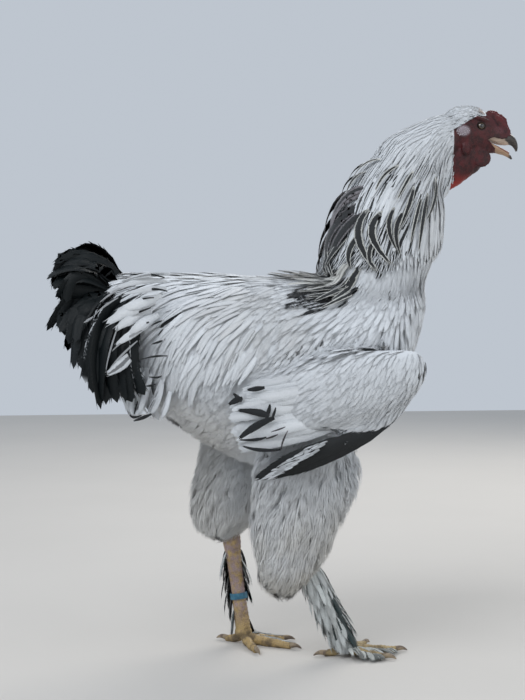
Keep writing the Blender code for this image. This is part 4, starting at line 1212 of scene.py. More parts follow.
def growWings():
    look = coat["wing"]
    spots, normals, rng = scatter(isWing, look["spacing"], 26)
    n = len(spots)
    rear = smoothStep(0.15, -0.02, spots[:, 0])
    lock = noiseAt(spots, 32, 6.0)
    length = between(look["length"], rear) * varied(rng, n)
    half = between(look["half"], rear) * varied(rng, n)
    lift = look["lift"] * (1 + 0.5 * lock) * varied(rng, n, 0.7, 1.2)
    sway = rng.normal(0, 0.1, n) + 0.22 * noiseAt(spots, 30, 8.0)
    spine, facing = trace(spots, normals, length, lift, 5, 0.85, sway)
    tint = markings(spots) * (1 + 0.08 * streaks(spots))[:, None]
    wristEdge = patch(spots, (0.16, 0.118, 0.35), (0.014, 0.03, 0.022))
    tint = tint + (coatColours["wrist"] - tint) * (wristEdge * 0.85)[:, None]
    spot = patch(spots, (0.139, 0.135, 0.372), (0.005, 0.02, 0.005)) > 0.45
    shapes = [softFeather(15, seed, 4, -0.04, 1.0) for seed in (1, 4, 6)]
    plant("wingCoverts", shapes, spine, facing, half, tint, np.where(spot, 1.6, 0.0), plumage, "white_feather", (),
          0.12)


def growShoulders():
    # Feathers that bridge from the flank over the upper edge of the folded wing
    look = coat["shoulder"]
    rng = np.random.default_rng(28)
    for name, side in sides.items():
        rows = []
        for x in rng.uniform(*look["rows"], look["count"]):
            top = 0.418 - 0.2 * max(0.02 - x, 0) + rng.normal(0, 0.008)
            length = look["length"] * rng.uniform(0.75, 1.2)
            slope = 0.55 + 0.9 * max(0.05 - x, 0) * 6 + rng.normal(0, 0.08)
            dx, dz = -slope * length / math.hypot(slope, 1), -length / math.hypot(slope, 1)
            rows.append(((x, top), (x + dx * 0.5, top + dz * 0.5), (x + dx, top + dz)))
        spine, facing = drawnSpines(rows, side, (-0.003, look["lift"], look["lift"] * 0.5))
        plain = np.ptp(np.abs(spine[:, :, 1]), axis=1) < 0.034
        spine, facing = spine[plain], facing[plain]
        middle = spine[:, 3]
        tint = markings(middle) * (1 + 0.09 * streaks(middle))[:, None]
        plant("shoulder" + name, [softFeather(15, seed, 5) for seed in (1, 4, 6)], spine, facing,
              look["half"] * varied(rng, len(spine)), tint, np.zeros(len(spine)), plumage, "white_feather", (), 0.12)


def growDown():
    look = coat["down"]
    spots, normals, rng = scatter(isDown, look["spacing"], 27)
    n = len(spots)
    low = smoothStep(0.28, 0.12, spots[:, 2])
    lock = noiseAt(spots, 28, 4.0)
    length = between(look["length"], low) * varied(rng, n, 0.8, 1.15)
    half = look["half"] * varied(rng, n, 0.8, 1.2)
    lift = look["lift"] * (1 + 0.45 * lock) * varied(rng, n, 0.75, 1.1)
    sway = rng.normal(0, 0.22, n) + 0.5 * noiseAt(spots, 24, 12.0)
    spine, facing = trace(spots, normals, length, lift, 5, 0.5, sway, 0.05, 0.5)
    tint = markings(spots) * (1 + 0.1 * streaks(spots))[:, None]
    shapes = [downTuft(12, seed) for seed in (3, 5, 8, 12)]
    plant("down", shapes, spine, facing, half, tint, np.zeros(n), downMaterial, "white_feather", (), 0.12)


# Large feathers: wings and tail

def fanSpines(look, side, rng):
    # Spines that spread between a line of roots and a line of tips, with a little disorder
    n = look["count"]
    lines = [np.array([splineAt(look[end], w) for w in np.linspace(0, 1, n)]) for end in ("roots", "mids", "tips")]
    for line, share in zip(lines, (0.25, 0.7, 1.0)):
        line += rng.normal(0, look["jitter"] * share, line.shape)
        line[:, 1] *= side
    spine = curved(*lines)
    facing = np.array(look["facing"], float) * np.array((1, side, 1))
    faces = np.tile(unit(facing), (n, spine.shape[1], 1)) + rng.normal(0, look.get("turn", 0.0), (n, 1, 3))
    along = unit(np.gradient(spine, axis=1))
    faces = unit(faces - along * (faces * along).sum(2, keepdims=True))
    return spine, faces, look["half"] * rng.uniform(0.85, 1.12, n)


flight = {
    "secondaries": {
        "count": 14, "roots": ((0.04, 0.121, 0.296), (0.012, 0.126, 0.352)),
        "mids": ((-0.02, 0.124, 0.284), (-0.036, 0.128, 0.318), (-0.03, 0.129, 0.345)),
        "tips": ((-0.074, 0.104, 0.268), (-0.088, 0.108, 0.303), (-0.076, 0.11, 0.338)),
        "facing": (-0.06, 1.0, -0.1), "half": 0.0085, "jitter": 0.0026,
    },
    "primaries": {
        "count": 9, "roots": ((0.11, 0.121, 0.306), (0.085, 0.123, 0.297), (0.06, 0.124, 0.284)),
        "mids": ((0.038, 0.126, 0.2655), (0.018, 0.128, 0.2665), (0.004, 0.129, 0.267)),
        "tips": ((-0.034, 0.112, 0.2385), (-0.06, 0.114, 0.2355), (-0.044, 0.118, 0.2465)),
        "facing": (-0.05, 1.0, 0.08), "half": 0.0078, "jitter": 0.0006,
    },
    # the pale stripe on the folded wing: its two ends in x and z, half its width, and its number of barbs
    "stripe": ((0.019, 0.2785), (-0.047, 0.237), 0.0046, 84),
    # how far out the folded feathers reach, along x
    "overPrimaries": ((-0.06, 0.01, 0.07), (0.1235, 0.1355, 0.124)),
    "overSecondaries": ((-0.09, -0.062, -0.035, 0.04), (0.1165, 0.129, 0.1372, 0.136)),
    "marks": [
        (-490, 3450, -593, 3432, -690, 3418, 30, 2.0), (-740, 3322, -820, 3289, -896, 3240, 36, 2.0),
        (-750, 3280, -792, 3327, -848, 3375, 24, 2.0), (-440, 3110, -565, 3155, -800, 3178, 42, 2.0),
        (-480, 3078, -445, 3173, -430, 3260, 24, 2.0), (-423, 3049, -385, 3144, -364, 3220, 16, 2.0),
        (-380, 3098, -603, 2986, -783, 2837, 44, 2.0), (-470, 2867, -603, 2835, -783, 2828, 18, 2.0),
        (-308, 2725, -546, 2716, -745, 2757, 22, 2.0), (-223, 2944, -280, 2821, -299, 2727, 12, 0.6),
        (-336, 2903, -413, 2870, -480, 2850, 12, 0.9), (-250, 2990, -330, 2960, -420, 2930, 10, 0.6),
    ],
}
tailLook = {
    "high": {
        "count": 15, "roots": ((-0.206, 0.004, 0.464), (-0.222, 0.022, 0.45)),
        "mids": ((-0.256, 0.008, 0.502), (-0.264, 0.034, 0.472)),
        "tips": ((-0.29, 0.014, 0.482), (-0.284, 0.044, 0.446)),
        "facing": (0.3, 1.0, 0.55), "half": 0.0085, "jitter": 0.0078, "turn": 0.5,
    },
    "middle": {
        "count": 13, "roots": ((-0.214, 0.006, 0.446), (-0.222, 0.028, 0.44)),
        "mids": ((-0.262, 0.018, 0.446), (-0.258, 0.044, 0.436)),
        "tips": ((-0.291, 0.028, 0.416), (-0.272, 0.054, 0.398)),
        "facing": (0.1, 1.0, 0.4), "half": 0.0088, "jitter": 0.007, "turn": 0.4,
    },
    "coverts": {
        "count": 26, "roots": ((-0.208, 0.012, 0.464), (-0.192, 0.036, 0.444)),
        "mids": ((-0.254, 0.034, 0.44), (-0.236, 0.064, 0.404), (-0.208, 0.072, 0.388)),
        "tips": ((-0.262, 0.042, 0.386), (-0.236, 0.064, 0.328), (-0.192, 0.076, 0.338)),
        "facing": (-0.55, 1.0, 0.25), "half": 0.0105, "jitter": 0.0056, "turn": 0.25,
    },
    "under": {
        "count": 10, "roots": ((-0.196, 0.006, 0.4), (-0.18, 0.04, 0.394)),
        "mids": ((-0.212, 0.01, 0.355), (-0.19, 0.056, 0.352)),
        "tips": ((-0.202, 0.014, 0.306), (-0.172, 0.058, 0.31)),
        "facing": (-0.9, 0.5, -0.15), "half": 0.01, "jitter": 0.0045, "turn": 0.2,
    },
}


def growFlight():
    for name, side in sides.items():
        rng = np.random.default_rng(51)
        spine, facing, halves = fanSpines(flight["secondaries"], side, rng)
        n = len(spine)
        white = coatColours["white"] * varied(rng, n, 0.9, 1.04)[:, None]
        plant("secondaries" + name, [broadFeather(40, 5 + k, 8, 0.4, -0.1, 0.3) for k in range(3)], spine, facing,
              halves, white, np.zeros(n), plumage, "white_feather", (), 0.25)
        spine, facing, halves = fanSpines(flight["primaries"], side, rng)
        n = len(spine)
        white = np.repeat(coatColours["white"][None], n, 0)
        plant("primaries" + name, [broadFeather(28, 15 + k, 9, 0.3) for k in range(3)], spine, facing, halves, white,
              np.full(n, 2.0), wingPlumage, "black_feather", ("primaries_" + name[0].lower(),))
        (x0, z0), (x1, z1), wide, count = flight["stripe"]
        rows, sizes = [], []
        for k in range(count):
            t = (k + rng.uniform(-0.4, 0.4)) / count
            off = rng.uniform(-1, 1) * wide * min(1.0, 0.05 + 2.2 * max(math.sin(math.pi * t), 0.0))
            size = rng.uniform(0.007, 0.014)
            x, z = x0 + (x1 - x0) * t - off * 0.53 + size * 0.5, z0 + (z1 - z0) * t + off * 0.85 + size * 0.2
            drop = rng.uniform(0.28, 0.52)
            rows.append(((x, z), (x - size * 0.5, z - size * drop * 0.45), (x - size, z - size * drop)))
            sizes.append(rng.uniform(0.0006, 0.0012))
        spine, facing = drawnSpines(rows, side, (0, 0, 0), flight["overPrimaries"])
        white = coatColours["white"] * rng.uniform(0.45, 0.95, len(rows))[:, None]
        plant("primaryStripe" + name, [lanceFeather(4, 3), lanceFeather(4, 5)], spine, facing, np.array(sizes), white,
              np.zeros(len(rows)), plumage, "white_feather")
        rows = drawnRows(flight["marks"])
        spine, facing = drawnSpines(rows, side, (0, 0, 0), flight["overSecondaries"])
        tint = np.repeat(coatColours["brown"][None], len(rows), 0)
        plant("wingMarks" + name, [lanceFeather(26, 31, 8, 0.0), lanceFeather(26, 32, 8, 0.0)], spine, facing,
              np.array([row[3] for row in rows]), tint, np.array([row[4] for row in rows]), hacklePlumage,
              "black_feather")


tailMarks = {  # how far out the tail reaches, along x, and the feathers drawn over and under it
    "outOver": ((-0.25, -0.23, -0.2, -0.18, -0.155), (0.066, 0.08, 0.086, 0.0885, 0.09)),
    "outUnder": ((-0.21, -0.19, -0.165, -0.15), (0.05, 0.06, 0.064, 0.066)),
    "over": [
        (-1601, 4688, -1938, 4690, -2320, 4561, 36, 0.0), (-1601, 4613, -1837, 4596, -2126, 4540, 34, 0.0),
        (-1740, 4460, -2010, 4370, -2327, 4190, 80, 0.0), (-1660, 4520, -1940, 4430, -2210, 4330, 62, 0.0),
        (-1780, 4330, -2020, 4248, -2222, 4114, 62, 0.0), (-1830, 4163, -2041, 4056, -2211, 3935, 46, 0.0),
        (-1980, 3870, -2147, 3705, -2320, 3585, 64, 0.35), (-1700, 4290, -1900, 4190, -2060, 4060, 60, 0.0),
        (-1560, 4780, -1850, 4765, -2110, 4700, 30, 0.3),
    ],
    "lines": [
        (-2150, 4260, -2277, 3878, -2333, 3600, 10, 0.0), (-1898, 4113, -2091, 4012, -2261, 3860, 13, 0.0),
        (-1957, 3988, -2166, 3793, -2325, 3590, 13, 0.0), (-2100, 4640, -2260, 4550, -2400, 4440, 12, 0.0),
        (-2180, 4500, -2340, 4400, -2460, 4290, 11, 0.0), (-2480, 4270, -2540, 4230, -2590, 4200, 14, 0.0),
    ],
    "dark": [
        (-1640, 4233, -1737, 4200, -1799, 4160, 15, 1.2), (-1643, 4140, -1687, 4087, -1717, 4040, 11, 1.2),
        (-1640, 3995, -1721, 3969, -1800, 3945, 18, 1.2), (-1603, 3807, -1755, 3802, -1920, 3765, 13, 1.4),
        (-1671, 3570, -1739, 3550, -1827, 3562, 12, 2.0), (-1743, 3472, -1807, 3455, -1859, 3450, 14, 2.0),
        (-1634, 4738, -1853, 4778, -2058, 4761, 14, 2.0), (-1601, 4575, -1803, 4601, -2002, 4546, 14, 2.0),
        (-1760, 4500, -1960, 4470, -2140, 4390, 12, 2.0), (-1800, 4380, -1980, 4310, -2140, 4230, 13, 2.0),
        (-1820, 4210, -1990, 4140, -2120, 4060, 16, 2.0),
    ],
    "under": [
        (-1820, 3650, -2010, 3301, -1990, 3020, 50, 0.0), (-1753, 3650, -1875, 3300, -1940, 3060, 58, 0.0),
        (-1651, 3600, -1699, 3281, -1842, 3055, 60, 0.0), (-1888, 3655, -2034, 3335, -2045, 3081, 52, 0.0),
        (-1540, 3450, -1600, 3200, -1680, 3030, 46, 0.0),
    ],
    "tips": [
        (-2045, 3091, -1993, 3062, -1900, 3092, 16, 2.0), (-1788, 3105, -1893, 3059, -2004, 3016, 22, 2.0),
        (-1955, 3260, -1977, 3165, -1995, 3096, 12, 2.0), (-1740, 3300, -1800, 3200, -1840, 3110, 12, 0.6),
    ],
}


def growTail():
    rng = np.random.default_rng(61)
    shapes = [broadFeather(40, 25 + k, 9, 0.5, -0.14, 0.34) for k in range(4)]
    for piece, groups, material, slot, replaces in (
        ("tailFeathers", ("high", "middle", "coverts"), tailPlumage, "black_feather", ("tail",)),
        ("underTail", ("under",), plumage, "white_feather", ()),
    ):
        spines, facings, halves, whites, inks = [], [], [], [], []
        for name in groups:
            for side in sides.values():
                spine, facing, half = fanSpines(tailLook[name], side, rng)
                n = len(spine)
                spines.append(spine)
                facings.append(facing)
                halves.append(half)
                whites.append(coatColours["white"] * varied(rng, n, 0.75, 1.0)[:, None])
                black = np.where(rng.random(n) < (0.15 if name == "coverts" else 0.0), 1.0, 2.0)
                inks.append(black if name != "under" else np.zeros(n))
        plant(piece, shapes, *(np.concatenate(each) for each in (spines, facings, halves, whites, inks)), material,
              slot, replaces, 0.6)
    # the saddle's last feathers over the black ones, their dark gaps, and the white feathers under the tail
    soft = [softFeather(34, seed, 7, -0.04, 1.1) for seed in (1, 4, 6)]
    lance = [lanceFeather(16, seed, 8, 0.0) for seed in (2, 7)]
    for kind, shapes, lifts in (
        ("under", soft, (-0.008, 0.01, 0.01)), ("tips", lance, (0.015, 0.015, 0.015)),
        ("over", lance, (-0.016, 0.004, 0.002)), ("lines", lance, (0.004, 0.005, 0.003)),
        ("dark", lance, (0.0015, 0.002, 0.002)),
    ):
        flat = tailMarks["outUnder" if kind in ("under", "tips") else "outOver"]
        rows = drawnRows(tailMarks[kind])
        for name, side in sides.items():
            spine, facing = drawnSpines(rows, side, lifts, flat)
            low = np.array([0.52 if kind == "lines" else 0.95 for _ in rows])
            tint = coatColours["white"] * (low * varied(rng, len(rows), 0.9, 1.05))[:, None]
            plant(kind + "Tail" + name, shapes, spine, facing, np.array([row[3] for row in rows]), tint,
                  np.array([row[4] for row in rows]), hacklePlumage,
                  "black_feather" if kind in ("dark", "tips") else "white_feather", (), 0.3)


print("stage: coat")
growCap()
growHackle()
growCape()
growBody()
growSaddle()
growWings()
growShoulders()
growDown()
growFlight()
growTail()


# The skin's own finish

# The face, faceDeep, grain and comb reds are the bird's deep crimson darkened further with painted shade of a shaded
# head; the throat red is lighter
skinColours = {
    "face": (0.064, 0.007, 0.009, 1), "faceDeep": (0.018, 0.003, 0.004, 1), "throat": (0.27, 0.02, 0.013, 1),
    "grain": (0.086, 0.016, 0.017, 1), "comb": (0.098, 0.007, 0.01, 1), "mouth": (0.24, 0.06, 0.054, 1),
    "lid": (0.014, 0.004, 0.004, 1), "ear": (0.27, 0.23, 0.255, 1), "cere": (0.11, 0.038, 0.044, 1),
    "ink": (0.03, 0.032, 0.034, 1),
}


facePatches = {  # place on the left half, radii
    "ear": ((0.2192, 0.0205, 0.6615), (0.008, 0.012, 0.0066)),
    "cere": ((0.268, 0.012, 0.664), (0.008, 0.02, 0.005)),
}


def dressSkin():
    # Coat colours and the bare red face on one surface
    mesh = skin.data
    spots = vertArray(mesh)
    bare = bareFace(spots)
    comb = smoothStep(0.9235, 0.929, spots[:, 0] + spots[:, 2] * 0.97) * smoothStep(0.2535, 0.2565, spots[:, 0])
    low = smoothStep(0.612, 0.592, spots[:, 2])
    ear = patch(spots, *facePatches["ear"])
    away = np.stack([spots[:, 0] - eye["place"].x, (spots[:, 2] - eye["place"].z) * 1.15], 1)
    lids = smoothStep(0.0078, 0.0058, np.linalg.norm(away, axis=1)) * (np.abs(spots[:, 1]) > 0.008)
    cere = patch(spots, *facePatches["cere"]) * 0.7
    inside = smoothStep(0.0, 0.0015, insideMouth(spots))
    for name, values in (
        ("bare", bare), ("combness", comb), ("throatness", low), ("mouthness", inside), ("earness", ear),
        ("lidness", lids), ("cereness", cere),
    ):
        mesh.attributes.new(name, "FLOAT", "POINT").data.foreach_set("value", values)
    # The coat colours at 0.8: painted shade for the skin that lies under the feathers
    tint = np.concatenate([markings(spots) * 0.8, np.ones((len(spots), 1))], 1)
    mesh.attributes.new("tint", "FLOAT_COLOR", "POINT").data.foreach_set("color", tint.ravel())
    dark = hackleInk(spots) * 0.75 * (spots[:, 2] > 0.5) * (spots[:, 0] > 0.04)
    mesh.attributes.new("ink", "FLOAT", "POINT").data.foreach_set("value", dark)
    material, tree, shader = newMaterial("skinAndDown")
    place = ownPlace(tree)
    fine = cloud(tree, place, 900.0, 4.0)
    broad = cloud(tree, place, 120.0, 3.0)
    pores = node(tree, "ShaderNodeTexVoronoi", [("Vector", place), ("Scale", 1150.0)]).outputs["Distance"]
    named = {
        key: node(tree, "ShaderNodeAttribute", attribute_name=key).outputs["Fac"]
        for key in ("bare", "combness", "throatness", "mouthness", "ink", "earness", "lidness", "cereness")
    }
    tinted = node(tree, "ShaderNodeAttribute", attribute_name="tint").outputs["Color"]
    # The skin's coat colours carry painted shade under the feathers, with the hackle's dark markings over them
    under = mixed(tree, named["ink"], tinted, skinColours["ink"])
    # The face, grain and comb reds here carry painted shade of the shaded head on top of the bird's own deep crimson
    red = mixed(tree, ramp(tree, broad, 0.35, 0.65), skinColours["faceDeep"], skinColours["face"])
    red = mixed(tree, times(tree, ramp(tree, fine, 0.45, 0.62), 0.5), red, skinColours["grain"])
    red = mixed(tree, named["throatness"], red, skinColours["throat"])
    red = mixed(tree, times(tree, named["combness"], 0.7), red, skinColours["comb"])
    red = mixed(tree, times(tree, named["cereness"], ramp(tree, fine, 0.3, 0.6)), red, skinColours["cere"])
    red = mixed(tree, named["mouthness"], red, skinColours["mouth"])
    red = mixed(tree, named["earness"], red, skinColours["ear"])
    red = mixed(tree, named["lidness"], red, skinColours["lid"])
    edge = ramp(tree, calc(tree, "MULTIPLY_ADD", fine, 0.4, named["bare"]), 0.45, 0.85)
    feed(tree, shader, mixed(tree, edge, under, red), ramp(tree, edge, 0.0, 1.0, 0.85, 0.46))
    height = calc(tree, "ADD", times(tree, fine, 0.8), times(tree, pores, 0.5))
    addBump(tree, shader, 0.55, 0.0005, height)
    shader.inputs["Specular IOR Level"].default_value = 0.35
    mesh.materials.clear()
    mesh.materials.append(material)
    mesh.transform(Matrix.Translation(shift))
    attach(skin, "root")
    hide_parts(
        "torso", "rump", "neck", "head", "thigh_r", "thigh_l", "wing_r", "wing_l", "comb", "wattle_r",
        "wattle_l", "earlobe_r", "earlobe_l",
    )
    print("piece skin", len(mesh.polygons))


def insideMouth(p):
    # Depth between the planes of the open gape
    reach = p[:, 0] - mouth["corner"].x
    middle = mouth["corner"].z - reach * (mouth["high"] + mouth["low"]) / 2
    half = reach * (mouth["low"] - mouth["high"]) / 2 + 0.0006
    return np.where(reach > -0.0005, (half - np.abs(p[:, 2] - middle)) * (np.abs(p[:, 1]) < 0.0125), -1.0)


print("stage: skin finish")
dressSkin()


# Head pieces

def finishPiece(piece, material, replaced=()):
    tidyNormals(piece)
    piece.data.transform(Matrix.Translation(shift))
    piece.data.materials.clear()
    piece.data.materials.append(material)
    piece.data.shade_smooth()
    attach(piece, "root")
    if replaced:
        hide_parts(*replaced)
    print("piece", piece.name, len(piece.data.polygons))
    return piece


def centred(tree, place, centre):
    # Distance terms from a point of the piece
    moved = node(tree, "ShaderNodeVectorMath", [(0, place), (1, tuple(centre))], operation="SUBTRACT")
    return node(tree, "ShaderNodeSeparateXYZ", [(0, moved.outputs[0])]).outputs


def eyeMaterial(side):
    material, tree, shader = newMaterial("eyeGlaze")
    place = ownPlace(tree)
    centre = Vector((eye["place"].x + 0.0004, side * eye["place"].y, eye["place"].z)) + shift
    x, _, z = centred(tree, place, centre)
    away = calc(tree, "SQRT", calc(tree, "ADD", times(tree, x, x), times(tree, z, z)))
    angle = calc(tree, "ARCTAN2", z, x)
    rays = node(tree, "ShaderNodeCombineXYZ", [
        (0, times(tree, angle, 9.0)), (1, times(tree, away, 900.0)),
    ]).outputs[0]
    streak = cloud(tree, rays, 1.6, 3.0)
    iris = mixed(tree, streak, eye["iris"], eye["irisLight"])
    pupil = ramp(tree, away, 0.0023, 0.0026, 1.0, 0.0)
    rim = ramp(tree, away, 0.0036, 0.0043)
    colour = mixed(tree, rim, iris, eye["rim"])
    tree.links.new(mixed(tree, pupil, colour, eye["pupil"]), shader.inputs["Base Color"])
    setSockets(shader, {"Roughness": 0.12, "Coat Weight": 1.0, "Coat Roughness": 0.03})
    return material


def makeEyes():
    for name, side in (("eyeRight", -1), ("eyeLeft", 1)):
        spot = Vector((eye["place"].x, side * eye["place"].y, eye["place"].z))
        ballPiece = ball(spot, (eye["radius"],) * 3, None, 5)
        for vert in ballPiece.data.vertices:
            off = vert.co - spot
            away = Vector((off.x, 0, off.z)).length / eye["corneaRadius"]
            bulge = max(0.0, 1 - away**2) * (off.y * side > 0)
            vert.co += Vector((0, side * eye["corneaHeight"] * bulge, 0))
        ballPiece.name = name
        finishPiece(ballPiece, eyeMaterial(side), ("eye_r" if side < 0 else "eye_l",))


beakRows = {
    "upper": [
        (0.2535, 0, 0.658, 0.0125, 0.0085), (0.264, 0, 0.6575, 0.0116, 0.01), (0.2703, 0, 0.6562, 0.0102, 0.0104),
        (0.28, 0, 0.6545, 0.008, 0.0086), (0.2868, 0, 0.6525, 0.0058, 0.0066), (0.2913, 0, 0.6486, 0.0038, 0.0046),
        (0.2938, 0, 0.6435, 0.0022, 0.0028), (0.2946, 0, 0.6385, 0.0008, 0.0012),
    ],
    "lower": [
        (0.2535, 0, 0.648, 0.0112, 0.004), (0.264, 0, 0.643, 0.01, 0.0054), (0.2703, 0, 0.6403, 0.0084, 0.0052),
        (0.278, 0, 0.6372, 0.0062, 0.004), (0.284, 0, 0.6332, 0.004, 0.0027), (0.2885, 0, 0.6286, 0.0014, 0.001),
    ],
}


def hornMaterial(name, look):
    # Dark ridge, pale cutting edge, with fine growth lines along the beak
    material, tree, shader = newMaterial(name)
    place = ownPlace(tree)
    x, y, z = centred(tree, place, look["centre"] + shift)
    stretched = node(tree, "ShaderNodeCombineXYZ", [
        (0, times(tree, x, 60.0)), (1, times(tree, y, 700.0)), (2, times(tree, z, 500.0)),
    ]).outputs[0]
    lines = cloud(tree, stretched, 1.2, 4.0)
    blotch = cloud(tree, place, 260.0)
    level = calc(tree, "MULTIPLY_ADD", x, look["slope"], z)
    level = calc(tree, "ADD", level, calc(tree, "MULTIPLY_ADD", blotch, 0.006, -0.003))
    dark = ramp(tree, level, look["low"], look["high"])
    tip = ramp(tree, x, look["tipFrom"], look["tipTo"])
    dark = calc(tree, "MAXIMUM", dark, times(tree, tip, look["tipDark"]), clamp=True)
    colour = mixed(tree, dark, look["pale"], look["dark"])
    colour = mixed(tree, times(tree, ramp(tree, lines, 0.4, 0.7), 0.35), colour, look["line"])
    feed(tree, shader, colour, ramp(tree, lines, 0.3, 0.7, 0.3, 0.48))
    addBump(tree, shader, 0.4, 0.0003, lines)
    return material


beakLook = {
    "upper": {
        "centre": Vector((0.28, 0, 0.651)), "slope": 0.8, "low": -0.003, "high": 0.0005, "tipFrom": 0.0115,
        "tipTo": 0.014, "tipDark": 1.0, "pale": (0.56, 0.44, 0.35, 1), "dark": (0.024, 0.02, 0.018, 1),
        "line": (0.13, 0.1, 0.08, 1),
    },
    "lower": {
        "centre": Vector((0.276, 0, 0.637)), "slope": 0.45, "low": 0.02, "high": 0.03, "tipFrom": 0.005,
        "tipTo": 0.0105, "tipDark": 1.0, "pale": (0.42, 0.27, 0.17, 1), "dark": (0.035, 0.028, 0.024, 1),
        "line": (0.17, 0.1, 0.07, 1),
    },
}


def makeBeak():
    upper = loft("beakUpper", beakRows["upper"], 60, 48)
    lower = loft("beakLower", beakRows["lower"], 50, 48)
    corner = mouth["corner"]
    for vert in upper.data.vertices:
        reach = vert.co.x - corner.x
        floor = corner.z + mouth["slit"] - reach * mouth["high"] - 14.0 * max(reach - 0.033, 0) ** 1.5
        centre = (0, 0, corner.z + 0.0055 - reach * 0.12)
        if vert.co.z < centre[2]:  # the palate is hollow between sharp cutting edges
            half = max(0.0125 - reach * 0.28, 0.001)
            hollow = 0.0022 * max(0.0, 1 - (vert.co.y / half) ** 2) * min(1.0, max(0.0, (0.04 - reach) / 0.01))
            vert.co.z = max(vert.co.z, floor + hollow)
        ridge = max(0.0, 1 - abs(vert.co.y) / 0.0022) if vert.co.z > centre[2] else 0.0
        vert.co.z += 0.0004 * ridge
    for vert in lower.data.vertices:
        reach = vert.co.x - corner.x
        roof = corner.z - mouth["slit"] - reach * mouth["low"]
        half = max(0.0115 - reach * 0.24, 0.001)
        hollow = 0.002 * max(0.0, 1 - (vert.co.y / half) ** 2) * min(1.0, max(0.0, (0.034 - reach) / 0.01))
        vert.co.z = min(vert.co.z, roof - hollow)
    tidyNormals(upper)
    nostrils = []
    for side in sides.values():
        lean = Matrix.Rotation(math.radians(28), 4, "Y")
        nostrils.append(ball(Vector((0.2775, side * 0.0086, 0.6555)), (0.003, 0.0016, 0.001), lean))
    cutAway(upper, nostrils)
    finishPiece(upper, hornMaterial("beakHorn", beakLook["upper"]), ("beak_upper",))
    finishPiece(lower, hornMaterial("beakHornLow", beakLook["lower"]), ("beak_lower",))


tongueLook = {
    "rows": [  # reach, half width, half thickness
        (0.007, 0.0026, 0.0008), (0.011, 0.003, 0.0009), (0.018, 0.0036, 0.0011), (0.026, 0.0028, 0.001),
        (0.031, 0.0014, 0.0007), (0.0325, 0.0003, 0.0003),
    ],
    "slope": 0.47, "groove": 0.0006, "deep": (0.34, 0.13, 0.11, 1), "pale": (0.52, 0.3, 0.25, 1),
}


def makeTongue():
    corner = mouth["corner"]
    rows = []
    for reach, half, thick in tongueLook["rows"]:
        rows.append((corner.x + reach, 0, corner.z - 0.0004 - reach * tongueLook["slope"] + 0.0014, half, thick))
    piece = loft("tongueFlesh", rows, 36, 28)
    for vert in piece.data.vertices:
        vert.co.z -= tongueLook["groove"] * max(0.0, 1 - abs(vert.co.y) / 0.0009)
    material, tree, shader = newMaterial("tongueSkin")
    place = ownPlace(tree)
    bumps = node(tree, "ShaderNodeTexVoronoi", [("Vector", place), ("Scale", 2200.0)]).outputs["Distance"]
    tone = cloud(tree, place, 400.0)
    colour = mixed(tree, tone, tongueLook["deep"], tongueLook["pale"])
    tree.links.new(colour, shader.inputs["Base Color"])
    addBump(tree, shader, 0.4, 0.0002, bumps)
    tree.links.new(ramp(tree, tone, 0.3, 0.7, 0.3, 0.42), shader.inputs["Roughness"])
    finishPiece(piece, material, ("tongue",))


print("stage: head pieces")
makeEyes()
makeBeak()
makeTongue()


# Legs and feet

legs = {
    "hock": {"Right": (0.01, -0.051, 0.128), "Left": (-0.07, 0.05, 0.134)},
    "ankle": {"Right": (0.064, -0.037, 0.017), "Left": (-0.056, 0.036, 0.017)},
    "shankRadius": 0.0088, "voxel": 0.00062,
    "shank": [(-0.16, 0.7, 0.9), (0.0, 1.1, 1.35), (0.2, 1.0, 1.1), (0.6, 0.95, 1.0), (0.93, 1.15, 1.1)],
    "heading": {"Right": 4, "Left": -32},
    "toeRadius": 0.0062,
    "toeTrack": [(0.0, 0.011, 1.1), (0.3, 0.0066, 1.05), (0.65, 0.0045, 0.95), (0.97, 0.0036, 0.72)],
    "toes": {"middle": (0, 0.068, 1.0, 4), "inner": (-46, 0.052, 0.92, 3), "outer": (34, 0.054, 0.9, 4),
             "hind": (176, 0.026, 0.85, 2)},
    "plates": {"middle": 15, "inner": 11, "outer": 12, "hind": 6, "shank": 22},
}
clawLook = {
    "rows": [(-0.004, 0.0042, 0.0034), (0.004, 0.0054, 0.003), (0.01, 0.0046, 0.0019), (0.0145, 0.0022, 0.0006)],
    "pale": (0.36, 0.28, 0.18, 1), "dark": (0.15, 0.11, 0.08, 1), "streak": (0.08, 0.06, 0.045, 1),
}


def legFrame(name):
    hock, ankle = (Vector(legs[key][name]) for key in ("hock", "ankle"))
    along = (ankle - hock).normalized()
    fore = (Vector((1, 0, 0)) - along * along.x).normalized()
    return hock, ankle, along, fore, along.cross(fore)


def plateRise(u, count, angle, height):
    # Overlapping plates over the front of a limb: each rises to its lower edge and drops
    phase = (u * count) % 1.0
    front = max(0.0, math.cos(angle)) ** 0.5
    return height * (phase**1.4 - 0.3) * front


def scales(angle, u, count, height):
    # Small round scales on the back
    back = max(0.0, -math.cos(angle))
    return height * back * math.sin(u * count * 6.28) * math.sin(angle * 7)


def tube(name, spots, ups, halves, count=28, rise=None):
    # A closed limb through its spots; rise(k, u, angle) lifts its surface from the upper side's angle
    verts = []
    total = len(spots)
    for k, (spot, up, (half, high)) in enumerate(zip(spots, ups, halves)):
        ahead = (spots[min(k + 1, total - 1)] - spots[max(k - 1, 0)]).normalized()
        up = (up - ahead * up.dot(ahead)).normalized()
        side = ahead.cross(up)
        for j in range(count):
            angle = 2 * math.pi * j / count
            lift = rise(k, k / (total - 1), angle) if rise else 0.0
            verts.append(spot + up * math.cos(angle) * (high + lift) + side * math.sin(angle) * (half + lift))
    return closeRings(name, verts, count, (spots[0], spots[-1]))


